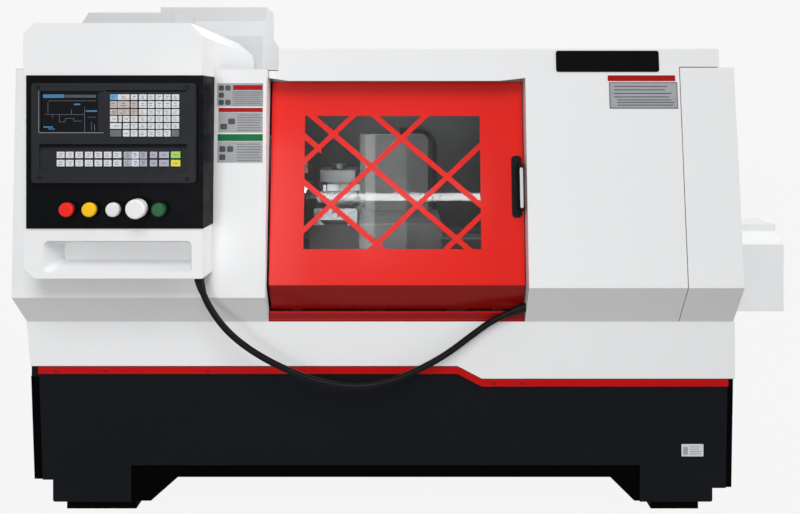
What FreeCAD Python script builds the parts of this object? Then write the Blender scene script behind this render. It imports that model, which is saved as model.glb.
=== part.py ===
import FreeCAD, Part
import math
import operator
import os
import types

import Sketcher

# A small computer-controlled turning lathe in a sheet-metal enclosure: cast stand, chip tray, bed,
# headstock with chuck, carriage with four-way turret, tailstock, sliding door and control box.
# X runs along the machine, Y from its front to its back and Z up. The origin is on the floor, at the
# middle of the machine's length and depth.

# Driving sizes in millimetres. Places along the machine are measured from its left end, depths from
# the front of the chip tray unless the name says otherwise, and heights from the floor.
SIZES = {
    # whole machine
    "overall_depth": 1100.0,
    "guard_length": 1963.0,
    "end_cover_reach": 238.5,
    "rear_clearance": 35.0,
    "knob_reach": 43.0,
    "box_standoff": 127.0,
    "guard_sheet": 2.5,
    "guard_top": 1232.0,
    "hood_rise": 56.0,
    "joint_gap": 0.3,
    "running_gap": 0.06,
    # stand
    "pad_height": 33.0,
    "pad_depth": 120.0,
    "pad_setback": 20.0,
    "left_pad": 107.0,
    "left_pad_length": 195.0,
    "right_pad_setback": 222.0,
    "right_pad_length": 133.0,
    "base_left": 16.7,
    "base_left_taper": 9.6,
    "base_right_taper": 5.0,
    "base_depth": 700.0,
    "base_top": 380.0,
    "base_underside": 99.0,
    "left_skirt": 94.0,
    "right_skirt": 71.0,
    "left_leg_outer": 80.0,
    "left_leg_inner": 350.0,
    "left_haunch": 425.0,
    "right_haunch_reach": 342.0,
    "right_leg_reach": 275.0,
    "right_leg_setback": 60.0,
    "leg_round": 6.0,
    "cover_left": 42.0,
    "cover_tab_left": 21.0,
    "cover_setback": 18.0,
    "cover_thick": 5.0,
    "cover_underside": 134.0,
    "left_leg_front": 296.0,
    "right_leg_front_reach": 261.0,
    "stripe_thick": 5.0,
    "stripe_height": 20.0,
    "stripe_left_top": 409.0,
    "stripe_right_top": 374.0,
    "stripe_jog_start": 1201.0,
    "stripe_jog_end": 1268.0,
    # chip tray
    "tray_left": 11.0,
    "tray_taper": 9.6,
    "tray_overhang": 5.0,
    "tray_sheet": 3.0,
    "tray_floor": 4.0,
    "tray_rim": 534.0,
    "apron_gap": 2.0,
    "rim_front": 46.0,
    "rim_side": 26.0,
    "rim_rear": 30.0,
    # bed and its ways
    "bed_left": 182.0,
    "bed_end_setback": 63.0,
    "bed_rise": 176.0,
    "bed_setback": 280.0,
    "bed_width": 240.0,
    "bed_web_inset": 16.0,
    "bed_foot_reach": 18.0,
    "bed_foot_height": 22.0,
    "bed_rail_height": 66.0,
    "bed_rail_width": 78.0,
    "bed_channel_depth": 96.0,
    "vee_setback": 40.0,
    "vee_half": 10.0,
    "vee_height": 10.0,
    "rib_window_length": 190.0,
    "rib_window_height": 120.0,
    "rib_window_pitch": 260.0,
    # headstock, spindle and chuck
    "centre_height": 170.0,
    "spindle_depth": 400.0,
    "headstock_left": 212.0,
    "headstock_length": 414.0,
    "headstock_front": 265.0,
    "headstock_width": 270.0,
    "headstock_height": 320.0,
    "headstock_wall": 34.0,
    "headstock_round": 28.0,
    "spindle_bore": 26.0,
    "spindle_journal": 45.0,
    "spindle_tail": 34.0,
    "spindle_tail_length": 58.0,
    "spindle_shoulder": 3.0,
    "spindle_nose_radius": 72.0,
    "spindle_nose_length": 13.0,
    "headstock_boss_radius": 88.0,
    "headstock_boss_length": 12.0,
    "chuck_radius": 100.0,
    "chuck_length": 75.0,
    "chuck_recess": 10.0,
    "jaw_width": 26.0,
    "jaw_slot_depth": 22.0,
    "jaw_inner": 30.0,
    "jaw_foot_outer": 97.0,
    "jaw_step_outer": 80.0,
    "jaw_nose_outer": 60.0,
    "jaw_step": 12.0,
    # carriage and turret
    "saddle_left": 765.0,
    "saddle_length": 405.0,
    "saddle_height": 65.0,
    "saddle_front": 190.0,
    "saddle_back": 530.0,
    "apron_drop": 45.0,
    "apron_depth": 80.0,
    "slide_centre": 850.0,
    "slide_width": 130.0,
    "slide_front": 150.0,
    "slide_length": 250.0,
    "slide_height": 50.0,
    "dovetail_foot": 34.0,
    "dovetail_head": 44.0,
    "dovetail_height": 16.0,
    "turret_depth": 275.0,
    "turret_base_radius": 50.0,
    "turret_base_height": 22.0,
    "turret_side": 116.0,
    "turret_height": 86.0,
    "turret_slot_height": 28.0,
    "turret_slot_depth": 24.0,
    "turret_slot_rise": 22.0,
    "turret_cap_radius": 24.0,
    "turret_cap_height": 16.0,
    "tool_section": 20.0,
    "tool_reach": 10.0,
    "tool_length": 100.0,
    "screw_x_radius": 8.0,
    "screw_x_tunnel": 11.0,
    "screw_x_rise": 33.0,
    "screw_x_block_side": 80.0,
    "screw_x_block_length": 48.0,
    "screw_x_block_floor": 6.0,
    "drive_cover_left": 925.0,
    "drive_cover_length": 212.0,
    "drive_cover_front": 440.0,
    "drive_cover_depth": 88.0,
    "drive_cover_height": 259.0,
    "drive_cover_round": 22.0,
    "conduit_radius": 8.0,
    "conduit_bend": 60.0,
    "conduit_rise": 60.0,
    # long feed screw
    "screw_z_drop": 120.0,
    "screw_z_depth": 240.0,
    "screw_z_radius": 16.0,
    "screw_z_left": 640.0,
    "screw_z_reach": 25.0,
    "bearing_block_side": 70.0,
    "bearing_block_length": 36.0,
    "screw_block_left": 660.0,
    "screw_block_setback": 113.0,
    "motor_z_width": 90.0,
    "motor_z_length": 150.0,
    "motor_z_gap": 22.0,
    # tailstock
    "tail_reach": 403.0,
    "tail_length": 190.0,
    "tail_barrel_radius": 52.0,
    "tail_barrel_overhang": 24.0,
    "tail_neck_width": 80.0,
    "tail_base_width": 210.0,
    "tail_base_height": 52.0,
    "quill_radius": 28.0,
    "quill_out": 62.0,
    "centre_length": 52.0,
    "centre_radius": 18.0,
    "wheel_radius": 78.0,
    "wheel_thick": 16.0,
    "wheel_hub_radius": 36.0,
    "wheel_rim": 14.0,
    "wheel_web": 6.0,
    "wheel_handle_radius": 5.0,
    "wheel_handle_length": 50.0,
    # enclosure
    "left_guard_length": 679.0,
    "left_bevel_rise": 79.0,
    "left_bevel_run": 50.0,
    "left_lean": 21.0,
    "guard_reach": 4.0,
    "right_guard_left": 1387.0,
    "right_bevel_rise": 109.0,
    "right_bevel_run": 65.0,
    "right_lean": 66.0,
    "end_guard_width": 151.0,
    "seam_gap": 2.0,
    "end_guard_rise": 4.0,
    "flange_gap": 6.0,
    "guard_seam": 1.0,
    "hood_step": 28.0,
    "hood_setback": 40.0,
    "band_drop": 33.0,
    "band_corner_rise": 8.0,
    "band_left_run": 28.0,
    "band_right_run": 71.0,
    "rear_ledge_run": 25.0,
    "rear_ledge_low": 804.0,
    "rear_ledge_high": 826.0,
    "end_window_front": 190.0,
    "end_window_rise": 110.0,
    "end_window_depth": 145.0,
    "end_cover_setback": 180.0,
    "end_cover_depth": 170.0,
    "end_cover_drop": 79.0,
    "end_cover_shoulder_rise": 123.0,
    "end_cover_ridge_rise": 154.0,
    "end_cover_rise": 176.0,
    "end_cover_slope": 48.0,
    # door
    "door_left_gap": 5.0,
    "door_right_gap": 3.0,
    "door_drop": 36.0,
    "door_bevel_rise": 75.0,
    "door_clearance": 16.0,
    "door_bottom_setback": 12.0,
    "door_back": 45.0,
    "door_recess": 40.0,
    "door_sheet": 2.5,
    "window_left_margin": 93.0,
    "window_right_margin": 119.0,
    "window_low_margin": 96.0,
    "window_high_margin": 94.0,
    "pane_overlap": 15.0,
    "pane_thick": 5.0,
    "bar_rise": 0.935,
    "bar_fall": 0.84,
    "bar_thick": 19.0,
    "bar_overrun": 20.0,
    "rising_bar_a": 240.0,
    "rising_bar_b": 51.0,
    "rising_bar_c": -174.0,
    "rising_bar_d": -366.0,
    "falling_bar_a": 529.0,
    "falling_bar_b": 381.0,
    "falling_bar_c": 182.0,
    "short_bar": 308.0,
    "short_bar_length": 46.0,
    "handle_inset": 33.0,
    "handle_width": 28.0,
    "handle_rise": 257.0,
    "handle_height": 169.0,
    "handle_plate": 4.0,
    "grip_inset": 21.0,
    "grip_width": 12.0,
    "grip_reach": 29.0,
    "grip_bar": 10.0,
    "grip_left_inset": 16.0,
    "roller_inset": 70.0,
    "roller_radius": 15.0,
    "roller_width": 10.0,
    "roller_depth": 24.0,
    "roller_pin": 5.0,
    "hanger_thick": 5.0,
    "hanger_width": 24.0,
    "hanger_height": 36.0,
    "rail_front": 14.0,
    "rail_width": 31.0,
    "rail_height": 16.0,
    "sill_height": 29.0,
    "tongue_height": 10.0,
    "tongue_thick": 4.0,
    "tongue_depth": 37.5,
    "channel_side_gap": 2.5,
    "channel_wall": 2.5,
    "channel_rise": 3.0,
    "channel_height": 12.5,
    # control box
    "box_left": 69.7,
    "box_width": 465.3,
    "box_splay": 3.5,
    "box_drop": 549.0,
    "box_height": 661.0,
    "box_right_corner": 36.0,
    "box_left_corner": 28.0,
    "box_low_corner": 25.0,
    "box_depth": 621.0,
    "box_rear_drop": 54.0,
    "box_rear_bevel": 92.0,
    "cavity_inset": 26.0,
    "cavity_depth": 66.0,
    "cavity_rise": 147.0,
    "cavity_height": 350.0,
    "slot_inset": 51.8,
    "slot_length": 382.0,
    "slot_rise": 15.5,
    "slot_height": 82.0,
    "slot_depth": 76.0,
    "slot_draft": 17.0,
    "slot_round": 14.0,
    "fascia_inset": 8.0,
    "fascia_thick": 3.0,
    "fascia_rise": 130.0,
    "fascia_height": 395.5,
    "frame_left": 98.5,
    "frame_length": 420.0,
    "frame_rise": 119.0,
    "frame_height": 256.0,
    "frame_thick": 14.0,
    "frame_round": 8.0,
    "screen_left": 121.5,
    "screen_length": 161.0,
    "screen_rise": 130.7,
    "screen_height": 105.0,
    "screen_recess": 6.0,
    "screen_thick": 2.0,
    "screen_gap": 0.4,
    "keys_left": 300.5,
    "keys_length": 175.5,
    "keys_offset": 118.0,
    "keys_height": 110.0,
    "keys_plate": 1.0,
    "keys_rise": 2.5,
    "key_groove": 3.0,
    "keys_columns": 8,
    "keys_rows": 6,
    "panel_left": 119.0,
    "panel_length": 377.5,
    "panel_rise": 28.5,
    "panel_height": 71.5,
    "panel_recess": 4.0,
    "panel_keys_left": 162.5,
    "panel_keys_length": 166.0,
    "panel_keys_rise": 13.5,
    "panel_keys_height": 39.5,
    "panel_columns": 7,
    "panel_rows": 2,
    "jog_left": 336.0,
    "jog_length": 59.0,
    "jog_columns": 3,
    "square_left": 401.5,
    "square_length": 48.0,
    "square_columns": 2,
    "start_left": 456.5,
    "start_length": 24.0,
    "button_rise": 51.5,
    "button_large_lift": 3.5,
    "button_stem": 11.0,
    "button_gap": 0.3,
    "button_cap": 18.5,
    "button_cap_thick": 10.5,
    "button_travel_room": 8.0,
    "button_stem_length": 40.0,
    "button_cap_round": 4.0,
    "bezel_radius": 16.0,
    "bezel_thick": 7.0,
    "large_cap": 25.0,
    "button_red_place": 191.0,
    "button_yellow_place": 249.0,
    "button_white_place": 310.0,
    "button_large_place": 372.5,
    "button_green_place": 426.0,
    "top_box_left": 89.0,
    "top_box_length": 294.0,
    "top_box_depth": 120.0,
    "top_box_width": 200.0,
    "top_box_height": 61.0,
    "top_box_slope": 38.7,
    # electrical cabinet
    "cabinet_left": 185.0,
    "cabinet_length": 379.0,
    "cabinet_nose": 60.0,
    "cabinet_nose_rise": 145.0,
    "cabinet_brow_rise": 205.0,
    "cabinet_rise": 255.0,
    "cabinet_crown": 142.0,
    "cabinet_step_rise": 155.0,
    "cabinet_slope_end": 235.0,
    "cabinet_slope_rise": 137.0,
    "cabinet_back_rise": 116.0,
    # control cable
    "cable_radius": 8.5,
    "cable_bend_share": 0.45,
    "gland_radius": 12.0,
    "gland_length": 10.0,
    "box_gland_place": 512.6,
    "box_gland_depth": -90.0,
    "guard_gland_depth": -10.0,
    "guard_gland_rise": 42.0,
}

# The control cable's bends, from the gland under the box to the gland on the right guard: place
# along the machine, depth from the tray's front, and height.
CABLE_BENDS = (
    (512.6, -90.0, 674.0),
    (519.0, -89.4, 640.0),
    (549.0, -86.7, 580.0),
    (592.0, -82.7, 525.0),
    (655.0, -76.9, 474.0),
    (735.0, -69.5, 428.0),
    (825.0, -61.2, 390.0),
    (925.0, -52.0, 371.5),
    (1015.0, -43.7, 384.0),
    (1095.0, -36.3, 414.5),
    (1170.0, -29.4, 454.0),
    (1240.0, -23.0, 505.0),
    (1308.0, -16.7, 551.0),
    (1381.0, -10.0, 576.0),
)

Vector = FreeCAD.Vector
Rotation = FreeCAD.Rotation
TOLERANCE = 0.001
OPERATIONS = {"+": operator.add, "-": operator.sub, "*": operator.mul, "/": operator.truediv}
PLANES = {"x": "YZ_Plane", "y": "XZ_Plane", "z": "XY_Plane"}
TURNS = {"x": Rotation(Vector(0, 1, 0), 90), "y": Rotation(Vector(1, 0, 0), -90), "z": Rotation()}

document = FreeCAD.newDocument("turning_lathe")
sheet = document.addObject("Spreadsheet::Sheet", "dims")
nodes = []


class Size:
    """A length: its number now, and the text that works it out from the sheet."""

    def __init__(self, number, text):
        self.number = float(number)
        self.text = text

    def __add__(self, other):
        return joined(self, "+", other)

    def __radd__(self, other):
        return joined(other, "+", self)

    def __sub__(self, other):
        return joined(self, "-", other)

    def __rsub__(self, other):
        return joined(other, "-", self)

    def __mul__(self, other):
        return joined(self, "*", other)

    def __rmul__(self, other):
        return joined(other, "*", self)

    def __truediv__(self, other):
        return joined(self, "/", other)

    def __neg__(self):
        return Size(-self.number, f"(-{self.text})")


def as_size(value):
    """A plain number as a Size."""
    if isinstance(value, Size):
        return value
    return Size(value, f"({float(value)})")


def joined(first, sign, second):
    """Two sizes joined by one sign of arithmetic."""
    first = as_size(first)
    second = as_size(second)
    number = OPERATIONS[sign](first.number, second.number)
    return Size(number, f"({first.text} {sign} {second.text})")


def fill_sheet():
    """Puts every driving size into the sheet and gives them back by name."""
    named = {}
    for row, (name, number) in enumerate(SIZES.items(), start=1):
        sheet.set(f"A{row}", name)
        sheet.set(f"B{row}", str(number))
        sheet.setAlias(f"B{row}", name)
        named[name] = Size(number, f"dims.{name}")
    document.recompute()
    return types.SimpleNamespace(**named)


def bind(thing, name, value):
    """Ties one property of an object to a size."""
    thing.setExpression(name, as_size(value).text)


def place(thing, x, y, z):
    """Ties an object's place to three sizes."""
    bind(thing, ".Placement.Base.x", x)
    bind(thing, ".Placement.Base.y", y)
    bind(thing, ".Placement.Base.z", z)


def outline(body, role, points):
    """A closed sketch through the points, each held at its two distances from the origin."""
    sketch = body.newObject("Sketcher::SketchObject", body.Name + "_sketch")
    plane = [feature for feature in body.Origin.OriginFeatures if feature.Role == role][0]
    sketch.AttachmentSupport = [(plane, "")]
    sketch.MapMode = "FlatFace"
    corners = [(as_size(a), as_size(b)) for a, b in points]
    count = len(corners)
    for index in range(count):
        a, b = corners[index]
        c, e = corners[(index + 1) % count]
        start = Vector(a.number, b.number, 0)
        end = Vector(c.number, e.number, 0)
        sketch.addGeometry(Part.LineSegment(start, end), False)
    for index in range(count):
        sketch.addConstraint(Sketcher.Constraint("Coincident", index, 2, (index + 1) % count, 1))
    for index, corner in enumerate(corners):
        for kind, value in zip(("DistanceX", "DistanceY"), corner):
            place_of = sketch.addConstraint(Sketcher.Constraint(kind, -1, 1, index, 1, value.number))
            sketch.setExpression(f"Constraints[{place_of}]", value.text)
    return sketch


def prism(name, axis, start, points, length, rounds=None, round_size=None, draft=None):
    """A solid of one section: the outline across the axis, drawn out from start by length.

    rounds lists the outline's corners that get a fillet of round_size. draft is how far each side
    of the far end stands in from the start.
    """
    body = document.addObject("PartDesign::Body", name)
    sketch = outline(body, PLANES[axis], points)
    pad = body.newObject("PartDesign::Pad", name + "_pad")
    pad.Profile = sketch
    pad.Reversed = axis == "y"
    bind(pad, "Length", length)
    if draft:
        pad.setExpression("TaperAngle", f"-atan({draft.text} / {length.text})")
    if rounds:
        document.recompute()
        corners = [(as_size(a).number, as_size(b).number) for a, b in points]
        chosen = [corners[index] for index in rounds]
        fillet = body.newObject("PartDesign::Fillet", name + "_round")
        fillet.Base = (pad, edges_at(pad.Shape, axis, chosen))
        bind(fillet, "Radius", round_size)
    bind(body, f".Placement.Base.{axis}", start)
    return body


def edges_at(shape, axis, corners):
    """Names of the edges that rise from the given corners of the section at its start."""
    across = {"x": ("y", "z"), "y": ("x", "z"), "z": ("x", "y")}[axis]
    found = []
    for number, edge in enumerate(shape.Edges, start=1):
        ends = [vertex.Point for vertex in edge.Vertexes]
        ends.sort(key=lambda point: abs(getattr(point, axis)))
        if abs(getattr(ends[0], axis) - getattr(ends[-1], axis)) < TOLERANCE:
            continue
        here = (getattr(ends[0], across[0]), getattr(ends[0], across[1]))
        if any(math.dist(here, corner) < TOLERANCE for corner in corners):
            found.append(f"Edge{number}")
    return found


def turned(name, axis, x, y, z, profile):
    """A solid turned about an axis through a point: the profile is (along the axis, radius)."""
    body = document.addObject("PartDesign::Body", name)
    role = {"x": "XZ_Plane", "y": "YZ_Plane", "z": "XZ_Plane"}[axis]
    points = profile
    if axis == "z":
        points = [(radius, along) for along, radius in profile]
    sketch = outline(body, role, points)
    revolution = body.newObject("PartDesign::Revolution", name + "_turn")
    revolution.Profile = sketch
    revolution.ReferenceAxis = (sketch, ["V_Axis" if axis == "z" else "H_Axis"])
    revolution.Angle = 360
    place(body, x, y, z)
    return body


def box(name, low, lengths):
    """A block from its lowest corner and its three lengths."""
    block = document.addObject("Part::Box", name)
    for side, value in zip(("Length", "Width", "Height"), lengths):
        bind(block, side, value)
    place(block, *low)
    return block


def rod(name, axis, start, radius, length):
    """A round bar along an axis, from its start point."""
    bar = document.addObject("Part::Cylinder", name)
    bar.Placement = FreeCAD.Placement(Vector(), TURNS[axis])
    bind(bar, "Radius", radius)
    bind(bar, "Height", length)
    place(bar, *start)
    return bar


def fuse(name, *pieces):
    """One solid from pieces that touch."""
    whole = document.addObject("Part::MultiFuse", name)
    whole.Shapes = list(pieces)
    whole.Refine = True
    return whole


def cut(name, base, *tools):
    """The base with the tools taken out of it."""
    tool = tools[0]
    if len(tools) > 1:
        tool = document.addObject("Part::MultiFuse", name + "_tools")
        tool.Shapes = list(tools)
    rest = document.addObject("Part::Cut", name)
    rest.Base = base
    rest.Tool = tool
    rest.Refine = True
    return rest


def common(name, first, second):
    """What two solids share."""
    shared = document.addObject("Part::MultiCommon", name)
    shared.Shapes = [first, second]
    shared.Refine = True
    return shared


def group(name, *pieces):
    """Separate solids kept together in one piece list entry."""
    together = document.addObject("Part::Compound", name)
    together.Links = list(pieces)
    return together


def node(label, thing):
    """Marks a finished sub-part and gives it the name of its file."""
    thing.Label = label
    nodes.append(thing)
    return thing


d = fill_sheet()
left = (d.guard_reach - d.guard_length - d.end_cover_reach) / 2
guard_left = left - d.guard_reach
box_front = d.knob_reach - d.overall_depth / 2
front = box_front + d.box_standoff
back = d.overall_depth / 2
axis_y = front + d.spindle_depth
bed_top = d.tray_rim + d.bed_rise
axis_z = bed_top + d.centre_height

# Heights and depths that follow from the tray's rim and the headstock.
enclosure_depth = d.headstock_front + d.headstock_width + d.rear_clearance
rear = front + enclosure_depth
left_bevel_top = d.tray_rim + d.left_bevel_rise
right_bevel_top = d.tray_rim + d.right_bevel_rise
door_bottom = d.tray_rim + d.rail_height + d.door_clearance
door_bevel_top = door_bottom + d.door_bevel_rise
guard_gland_height = d.tray_rim + d.guard_gland_rise

# Heights that follow from the bed.
screw_z_height = bed_top - d.screw_z_drop
apron_bottom = screw_z_height - d.apron_drop
end_cover_bottom = screw_z_height - d.end_cover_drop
end_cover_shoulder = screw_z_height + d.end_cover_shoulder_rise
end_cover_ridge = screw_z_height + d.end_cover_ridge_rise
end_cover_top = screw_z_height + d.end_cover_rise
end_window_top = screw_z_height + d.end_window_rise
saddle_top = bed_top + d.saddle_height
headstock_top = bed_top + d.headstock_height
drive_cover_top = saddle_top + d.drive_cover_height

# Heights that follow from the guards' top.
hood_top = d.guard_top + d.hood_rise
end_guard_top = d.guard_top + d.end_guard_rise
door_top = d.guard_top - d.door_drop
band_bottom = d.guard_top - d.band_drop
window_bottom = door_bevel_top + d.window_low_margin
window_top = door_top - d.window_high_margin
handle_bottom = door_bottom + d.handle_rise
cabinet_nose_top = d.guard_top + d.cabinet_nose_rise
cabinet_brow = d.guard_top + d.cabinet_brow_rise
cabinet_top = d.guard_top + d.cabinet_rise
cabinet_step = d.guard_top + d.cabinet_step_rise
cabinet_slope_low = d.guard_top + d.cabinet_slope_rise
cabinet_back_top = d.guard_top + d.cabinet_back_rise

# Heights on the control box, from its underside up.
box_bottom = d.guard_top - d.box_drop
box_top = box_bottom + d.box_height
cavity_bottom = box_bottom + d.cavity_rise
cavity_top = cavity_bottom + d.cavity_height
slot_bottom = box_bottom + d.slot_rise
fascia_bottom = box_bottom + d.fascia_rise
fascia_top = fascia_bottom + d.fascia_height
frame_bottom = fascia_bottom + d.frame_rise
screen_bottom = frame_bottom + d.screen_rise
keys_bottom = frame_bottom + d.keys_offset
panel_bottom = frame_bottom + d.panel_rise
panel_keys_bottom = panel_bottom + d.panel_keys_rise
button_height = fascia_bottom + d.button_rise

# Places along the machine that follow from the guards' length.
seam_left = d.guard_length - d.end_guard_width
band_right = d.guard_length - d.hood_setback
tray_right = d.guard_length + d.tray_overhang
base_right = tray_right
cover_right = tray_right - d.cover_setback
right_pad = tray_right - d.right_pad_setback
right_haunch = tray_right - d.right_haunch_reach
right_leg_inner = tray_right - d.right_leg_reach
right_leg_outer = tray_right - d.right_leg_setback
right_leg_front = tray_right - d.right_leg_front_reach
bed_length = d.guard_length - d.bed_left - d.bed_end_setback
screw_block_right = d.guard_length - d.screw_block_setback
screw_z_right = d.guard_length + d.screw_z_reach
tail_left = d.guard_length - d.tail_reach

# Places along the machine that follow from the doorway between the two front guards.
band_tongue_left = d.left_guard_length + d.guard_seam
hood_left = d.left_guard_length + d.hood_step
band_left_corner = hood_left + d.band_left_run
band_right_corner = d.right_guard_left - d.band_right_run
door_left = d.left_guard_length + d.door_left_gap
door_right = d.right_guard_left - d.door_right_gap
window_left = door_left + d.window_left_margin
window_length = door_right - d.window_right_margin - window_left
handle_left = door_right - d.handle_inset
grip_left = handle_left + d.grip_left_inset


def left_face(height):
    """Depth of the left guard's leaning face at a height."""
    share = (height - left_bevel_top) / (d.guard_top - left_bevel_top)
    return front - d.left_bevel_run + d.left_lean * share


def right_face(height):
    """Depth of the right guard's leaning face at a height."""
    share = (height - right_bevel_top) / (hood_top - right_bevel_top)
    return front - d.right_bevel_run + d.right_lean * share


def door_face(height):
    """Depth of the door's leaning face at a height: level with the right guard, set behind it."""
    return right_face(height) + d.door_recess


def folded_sheet(face, run, bevel_top, top):
    """Section of a front guard: up from the tray, out along the bevel, then back as it leans."""
    foot = front - run
    head = face(top)
    return [
        (front, d.tray_rim),
        (foot, bevel_top),
        (head, top),
        (head + d.guard_sheet, top),
        (foot + d.guard_sheet, bevel_top),
        (front + d.guard_sheet, d.tray_rim),
    ]


def base_casting():
    """The stand: a deep beam on two wide legs, with sloping haunches between."""
    points = [
        (left + d.base_left, d.base_top),
        (left + base_right, d.base_top),
        (left + base_right - d.base_right_taper, d.right_skirt),
        (left + right_leg_outer, d.right_skirt),
        (left + right_leg_outer, d.pad_height),
        (left + right_leg_inner, d.pad_height),
        (left + right_haunch, d.base_underside),
        (left + d.left_haunch, d.base_underside),
        (left + d.left_leg_inner, d.pad_height),
        (left + d.left_leg_outer, d.pad_height),
        (left + d.left_leg_outer, d.left_skirt),
        (left + d.base_left + d.base_left_taper, d.left_skirt),
    ]
    start = front + d.stripe_thick + d.cover_thick
    node("base_casting", prism("base_casting", "y", start, points, d.base_depth, (4, 9), d.leg_round))


def base_cover():
    """The front skirt: one plate that follows the legs and the trim's jog, with a tab at its left."""
    points = [
        (left + d.cover_tab_left, d.stripe_left_top),
        (left + d.stripe_jog_start, d.stripe_left_top),
        (left + d.stripe_jog_end, d.stripe_right_top),
        (left + cover_right, d.stripe_right_top),
        (left + cover_right - d.base_right_taper, d.right_skirt),
        (left + right_leg_outer, d.right_skirt),
        (left + right_leg_outer, d.pad_height),
        (left + right_leg_front, d.pad_height),
        (left + right_leg_front, d.cover_underside),
        (left + d.left_leg_front, d.cover_underside),
        (left + d.left_leg_front, d.pad_height),
        (left + d.left_leg_outer, d.pad_height),
        (left + d.left_leg_outer, d.left_skirt),
        (left + d.cover_left + d.base_left_taper, d.left_skirt),
        (left + d.cover_left, d.base_top),
        (left + d.cover_tab_left, d.base_top),
    ]
    start = front + d.stripe_thick
    node("base_front_cover", prism("base_front_cover", "y", start, points, d.cover_thick, (6, 11),
                                   d.leg_round))


def foot_pads():
    """Four levelling pads under the legs."""
    near = front + d.stripe_thick + d.cover_thick + d.pad_setback
    far = front + d.stripe_thick + d.cover_thick + d.base_depth - d.pad_setback - d.pad_depth
    pads = []
    for place_x, length in ((d.left_pad, d.left_pad_length), (right_pad, d.right_pad_length)):
        for place_y in (near, far):
            low = (left + place_x, place_y, 0)
            pads.append(box(f"pad_{len(pads)}", low, (length, d.pad_depth, d.pad_height)))
    node("foot_pads", group("foot_pads", *pads))


def stripe():
    """The trim strip across the front, stepping down where the tray gets deeper."""
    low_left = d.stripe_left_top - d.stripe_height
    low_right = d.stripe_right_top - d.stripe_height
    points = [
        (left + d.cover_left, d.stripe_left_top),
        (left + d.stripe_jog_start, d.stripe_left_top),
        (left + d.stripe_jog_end, d.stripe_right_top),
        (left + cover_right, d.stripe_right_top),
        (left + cover_right, low_right),
        (left + d.stripe_jog_end, low_right),
        (left + d.stripe_jog_start, low_left),
        (left + d.cover_left, low_left),
    ]
    node("stripe_trim", prism("stripe_trim", "y", front, points, d.stripe_thick))


def chip_tray():
    """The folded tray under the bed, with its front apron and the rim that carries the guards."""
    left_low = d.stripe_left_top + d.apron_gap
    right_low = d.stripe_right_top + d.apron_gap
    points = [
        (left + d.tray_left, d.tray_rim),
        (left + tray_right, d.tray_rim),
        (left + tray_right, right_low),
        (left + d.stripe_jog_end, right_low),
        (left + d.stripe_jog_start, left_low),
        (left + d.tray_left + d.tray_taper, left_low),
    ]
    apron = prism("apron", "y", front, points, d.tray_sheet)
    length = tray_right - d.tray_left
    pan_front = front + d.stripe_thick + d.cover_thick
    pan_depth = rear - pan_front
    pan_left = left + d.tray_left + d.tray_taper
    pan_length = length - d.tray_taper - d.tray_sheet
    pan = box("pan", (pan_left, pan_front, d.base_top), (pan_length, pan_depth, d.tray_rim - d.base_top))
    hollow = box("pan_hollow",
                 (pan_left + d.tray_sheet, pan_front + d.tray_sheet, d.base_top + d.tray_floor),
                 (pan_length - d.tray_sheet * 2, pan_depth - d.tray_sheet * 2, d.tray_rim))
    rim = box("rim", (left + d.tray_left, front, d.tray_rim - d.tray_sheet),
              (length, enclosure_depth, d.tray_sheet))
    rim_hole = box("rim_hole", (left + d.tray_left + d.rim_side, front + d.rim_front, d.base_top),
                   (length - d.rim_side * 2, enclosure_depth - d.rim_front - d.rim_rear, d.tray_rim))
    walls = cut("pan_walls", pan, hollow)
    shelf = cut("rim_shelf", rim, rim_hole)
    node("chip_tray", fuse("chip_tray", walls, shelf, apron))


def vee(bottom, gap):
    """The three corners of the front way's vee, or of a notch over it, from front to back."""
    ridge = front + d.bed_setback + d.vee_setback
    return [
        (ridge - d.vee_half - gap, bottom),
        (ridge, bottom + d.vee_height + gap),
        (ridge + d.vee_half + gap, bottom),
    ]


def bed():
    """The cast bed: feet, webs, two shears with a front vee way, and windows between its ribs."""
    near = front + d.bed_setback
    far = near + d.bed_width
    floor = d.base_top + d.tray_floor
    foot = floor + d.bed_foot_height
    rail = bed_top - d.bed_rail_height
    channel = bed_top - d.bed_channel_depth
    points = [
        (near - d.bed_foot_reach, floor),
        (far + d.bed_foot_reach, floor),
        (far + d.bed_foot_reach, foot),
        (far - d.bed_web_inset, foot + d.bed_web_inset),
        (far - d.bed_web_inset, rail - d.bed_web_inset),
        (far, rail),
        (far, bed_top),
        (far - d.bed_rail_width, bed_top),
        (far - d.bed_rail_width, channel),
        (near + d.bed_rail_width, channel),
        (near + d.bed_rail_width, bed_top),
        *reversed(vee(bed_top, 0)),
        (near, bed_top),
        (near, rail),
        (near + d.bed_web_inset, rail - d.bed_web_inset),
        (near + d.bed_web_inset, foot + d.bed_web_inset),
        (near - d.bed_foot_reach, foot),
    ]
    whole = prism("bed_section", "x", left + d.bed_left, points, bed_length)
    windows = []
    low = foot + d.bed_web_inset * 2
    for number in range(6):
        along = left + d.bed_left + d.rib_window_pitch * (number + 0.5) - d.rib_window_length / 2
        windows.append(box(f"rib_window_{number}", (along, near - d.bed_foot_reach, low),
                           (d.rib_window_length, d.bed_width + d.bed_foot_reach * 2, d.rib_window_height)))
    node("bed", cut("bed", whole, *windows))


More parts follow.
